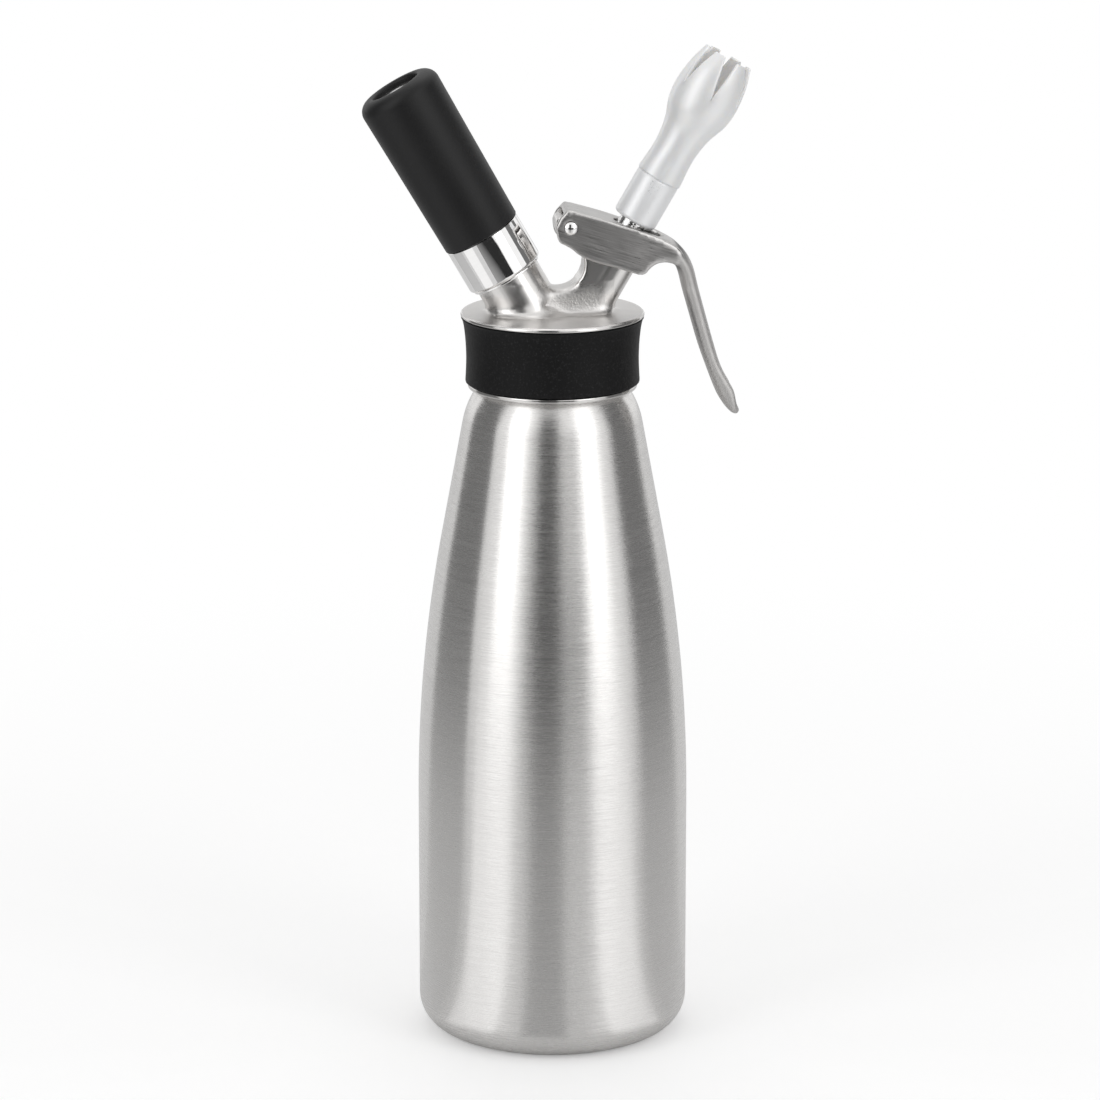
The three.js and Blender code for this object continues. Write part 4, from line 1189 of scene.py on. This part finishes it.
def around(azimuth, distance, height):
    """A point at an azimuth in degrees, counted from the camera's side of the dispenser."""
    angle = math.radians(azimuth) + VIEW_AZIMUTH
    return Vector((distance * math.sin(angle), -distance * math.cos(angle), height))


def soft_box(name, azimuth, distance=1.3, height=0.75, size=(0.55, 1.3), power=2.5):
    lamp = bpy.data.lights.new(name, "AREA")
    lamp.shape, lamp.size, lamp.size_y, lamp.energy = "RECTANGLE", *size, power
    holder = bpy.data.objects.new(name, lamp)
    holder.location = around(azimuth, distance, height)
    holder.rotation_euler = (LAMP_AIM - holder.location).to_track_quat("-Z", "Y").to_euler()
    bpy.context.scene.collection.objects.link(holder)
    print(name, "gives", power, "W")


soft_box("soft_box_left", -46)
soft_box("soft_box_right", 46)
soft_box("soft_box_above", 180, distance=0.5, height=1.5, size=(0.9, 0.9), power=2.2)

# %% [markdown]
# ## Cards
# Bright metal shows what stands around it. Grey and black cards between the lamps leave crisp
# dark bands in the reflections, and two white boards on the table lift the reflected table to
# white. All of them show only in reflections, so they neither shade the table nor enter the view.

# %% Cards
ON_TABLE = 0.002


def card(name, azimuth, half_angle, shades, near=0.06, far=1.15, low=ON_TABLE, high=1.3):
    """A cloth on the table from near to far that hangs there from low to high."""
    cloth = Finish(name, Base_Color=grey(0.0), Specular_IOR_Level=0.0, Emission_Strength=1.0)
    x, y = cloth.part("X"), cloth.part("Y")
    away = ((x * x + y * y) ** 0.5).within(near + 0.15, far)
    cloth.feed(Emission_Color=cloth.blend(away, grey(shades[0]), grey(shades[1])))
    cloth.material.cycles.emission_sampling = "NONE"
    work = bmesh.new()
    for rows in ([(far, low), (far, high)], [(near, ON_TABLE), (far, ON_TABLE)]):
        corners = [
            [work.verts.new(around(azimuth + side * half_angle, distance, level)) for side in (-1, 0, 1)]
            for distance, level in rows
        ]
        for i in range(2):
            work.faces.new((corners[0][i], corners[0][i + 1], corners[1][i + 1], corners[1][i]))
    mesh = bpy.data.meshes.new(name)
    work.to_mesh(mesh)
    work.free()
    mesh.materials.append(cloth.material)
    made = stand(name, mesh)
    for ray in ("camera", "diffuse", "shadow", "transmission", "volume_scatter"):
        setattr(made, f"visible_{ray}", False)
    print(name, "runs from", shades[0], "to", shades[1])


card("card_front", -5, 13, (0.45, 0.09))
card("card_high", 2, 29, (0.03, 0.03), near=1.0, far=1.14, high=0.32)
card("card_left", -101, 24, (0.57, 0.17))
card("card_right", 101, 24, (0.57, 0.17))
card("card_back", 180, 38, (0.72, 0.7), near=1.25, far=1.3, low=0.4, high=1.0)
card("board_left", -50, 17, (1.0, 1.0), high=0.003)
card("board_right", 50, 17, (1.0, 1.0), high=0.003)

# %% [markdown]
# ## The camera
# The photograph was taken from far away with a long lens, a little above the table and a little
# to the left. These numbers were fitted to the bottle's outline and to both leaning axes.

# %% Camera
CAMERA_DISTANCE = 2.0
LOOK_AT = Vector((0, 0, 0.183))
PICTURE_WIDTH = 1100
FOCAL_PIXELS = 5415
SIDE_SHIFT_PIXELS = -2.5
lens = bpy.data.cameras.new("studio_camera")
lens.sensor_width = 36
lens.lens = FOCAL_PIXELS / PICTURE_WIDTH * lens.sensor_width
lens.shift_x = SIDE_SHIFT_PIXELS / PICTURE_WIDTH
lens.clip_end = 50
camera = bpy.data.objects.new("studio_camera", lens)
ground_distance = CAMERA_DISTANCE * math.cos(VIEW_RISE)
camera.location = LOOK_AT + around(0, ground_distance, CAMERA_DISTANCE * math.sin(VIEW_RISE))
camera.rotation_euler = (LOOK_AT - camera.location).to_track_quat("-Z", "Y").to_euler()
bpy.context.scene.collection.objects.link(camera)
bpy.context.scene.camera = camera
bpy.context.scene.view_settings.view_transform = "Standard"
print("camera at", [round(v, 3) for v in camera.location])
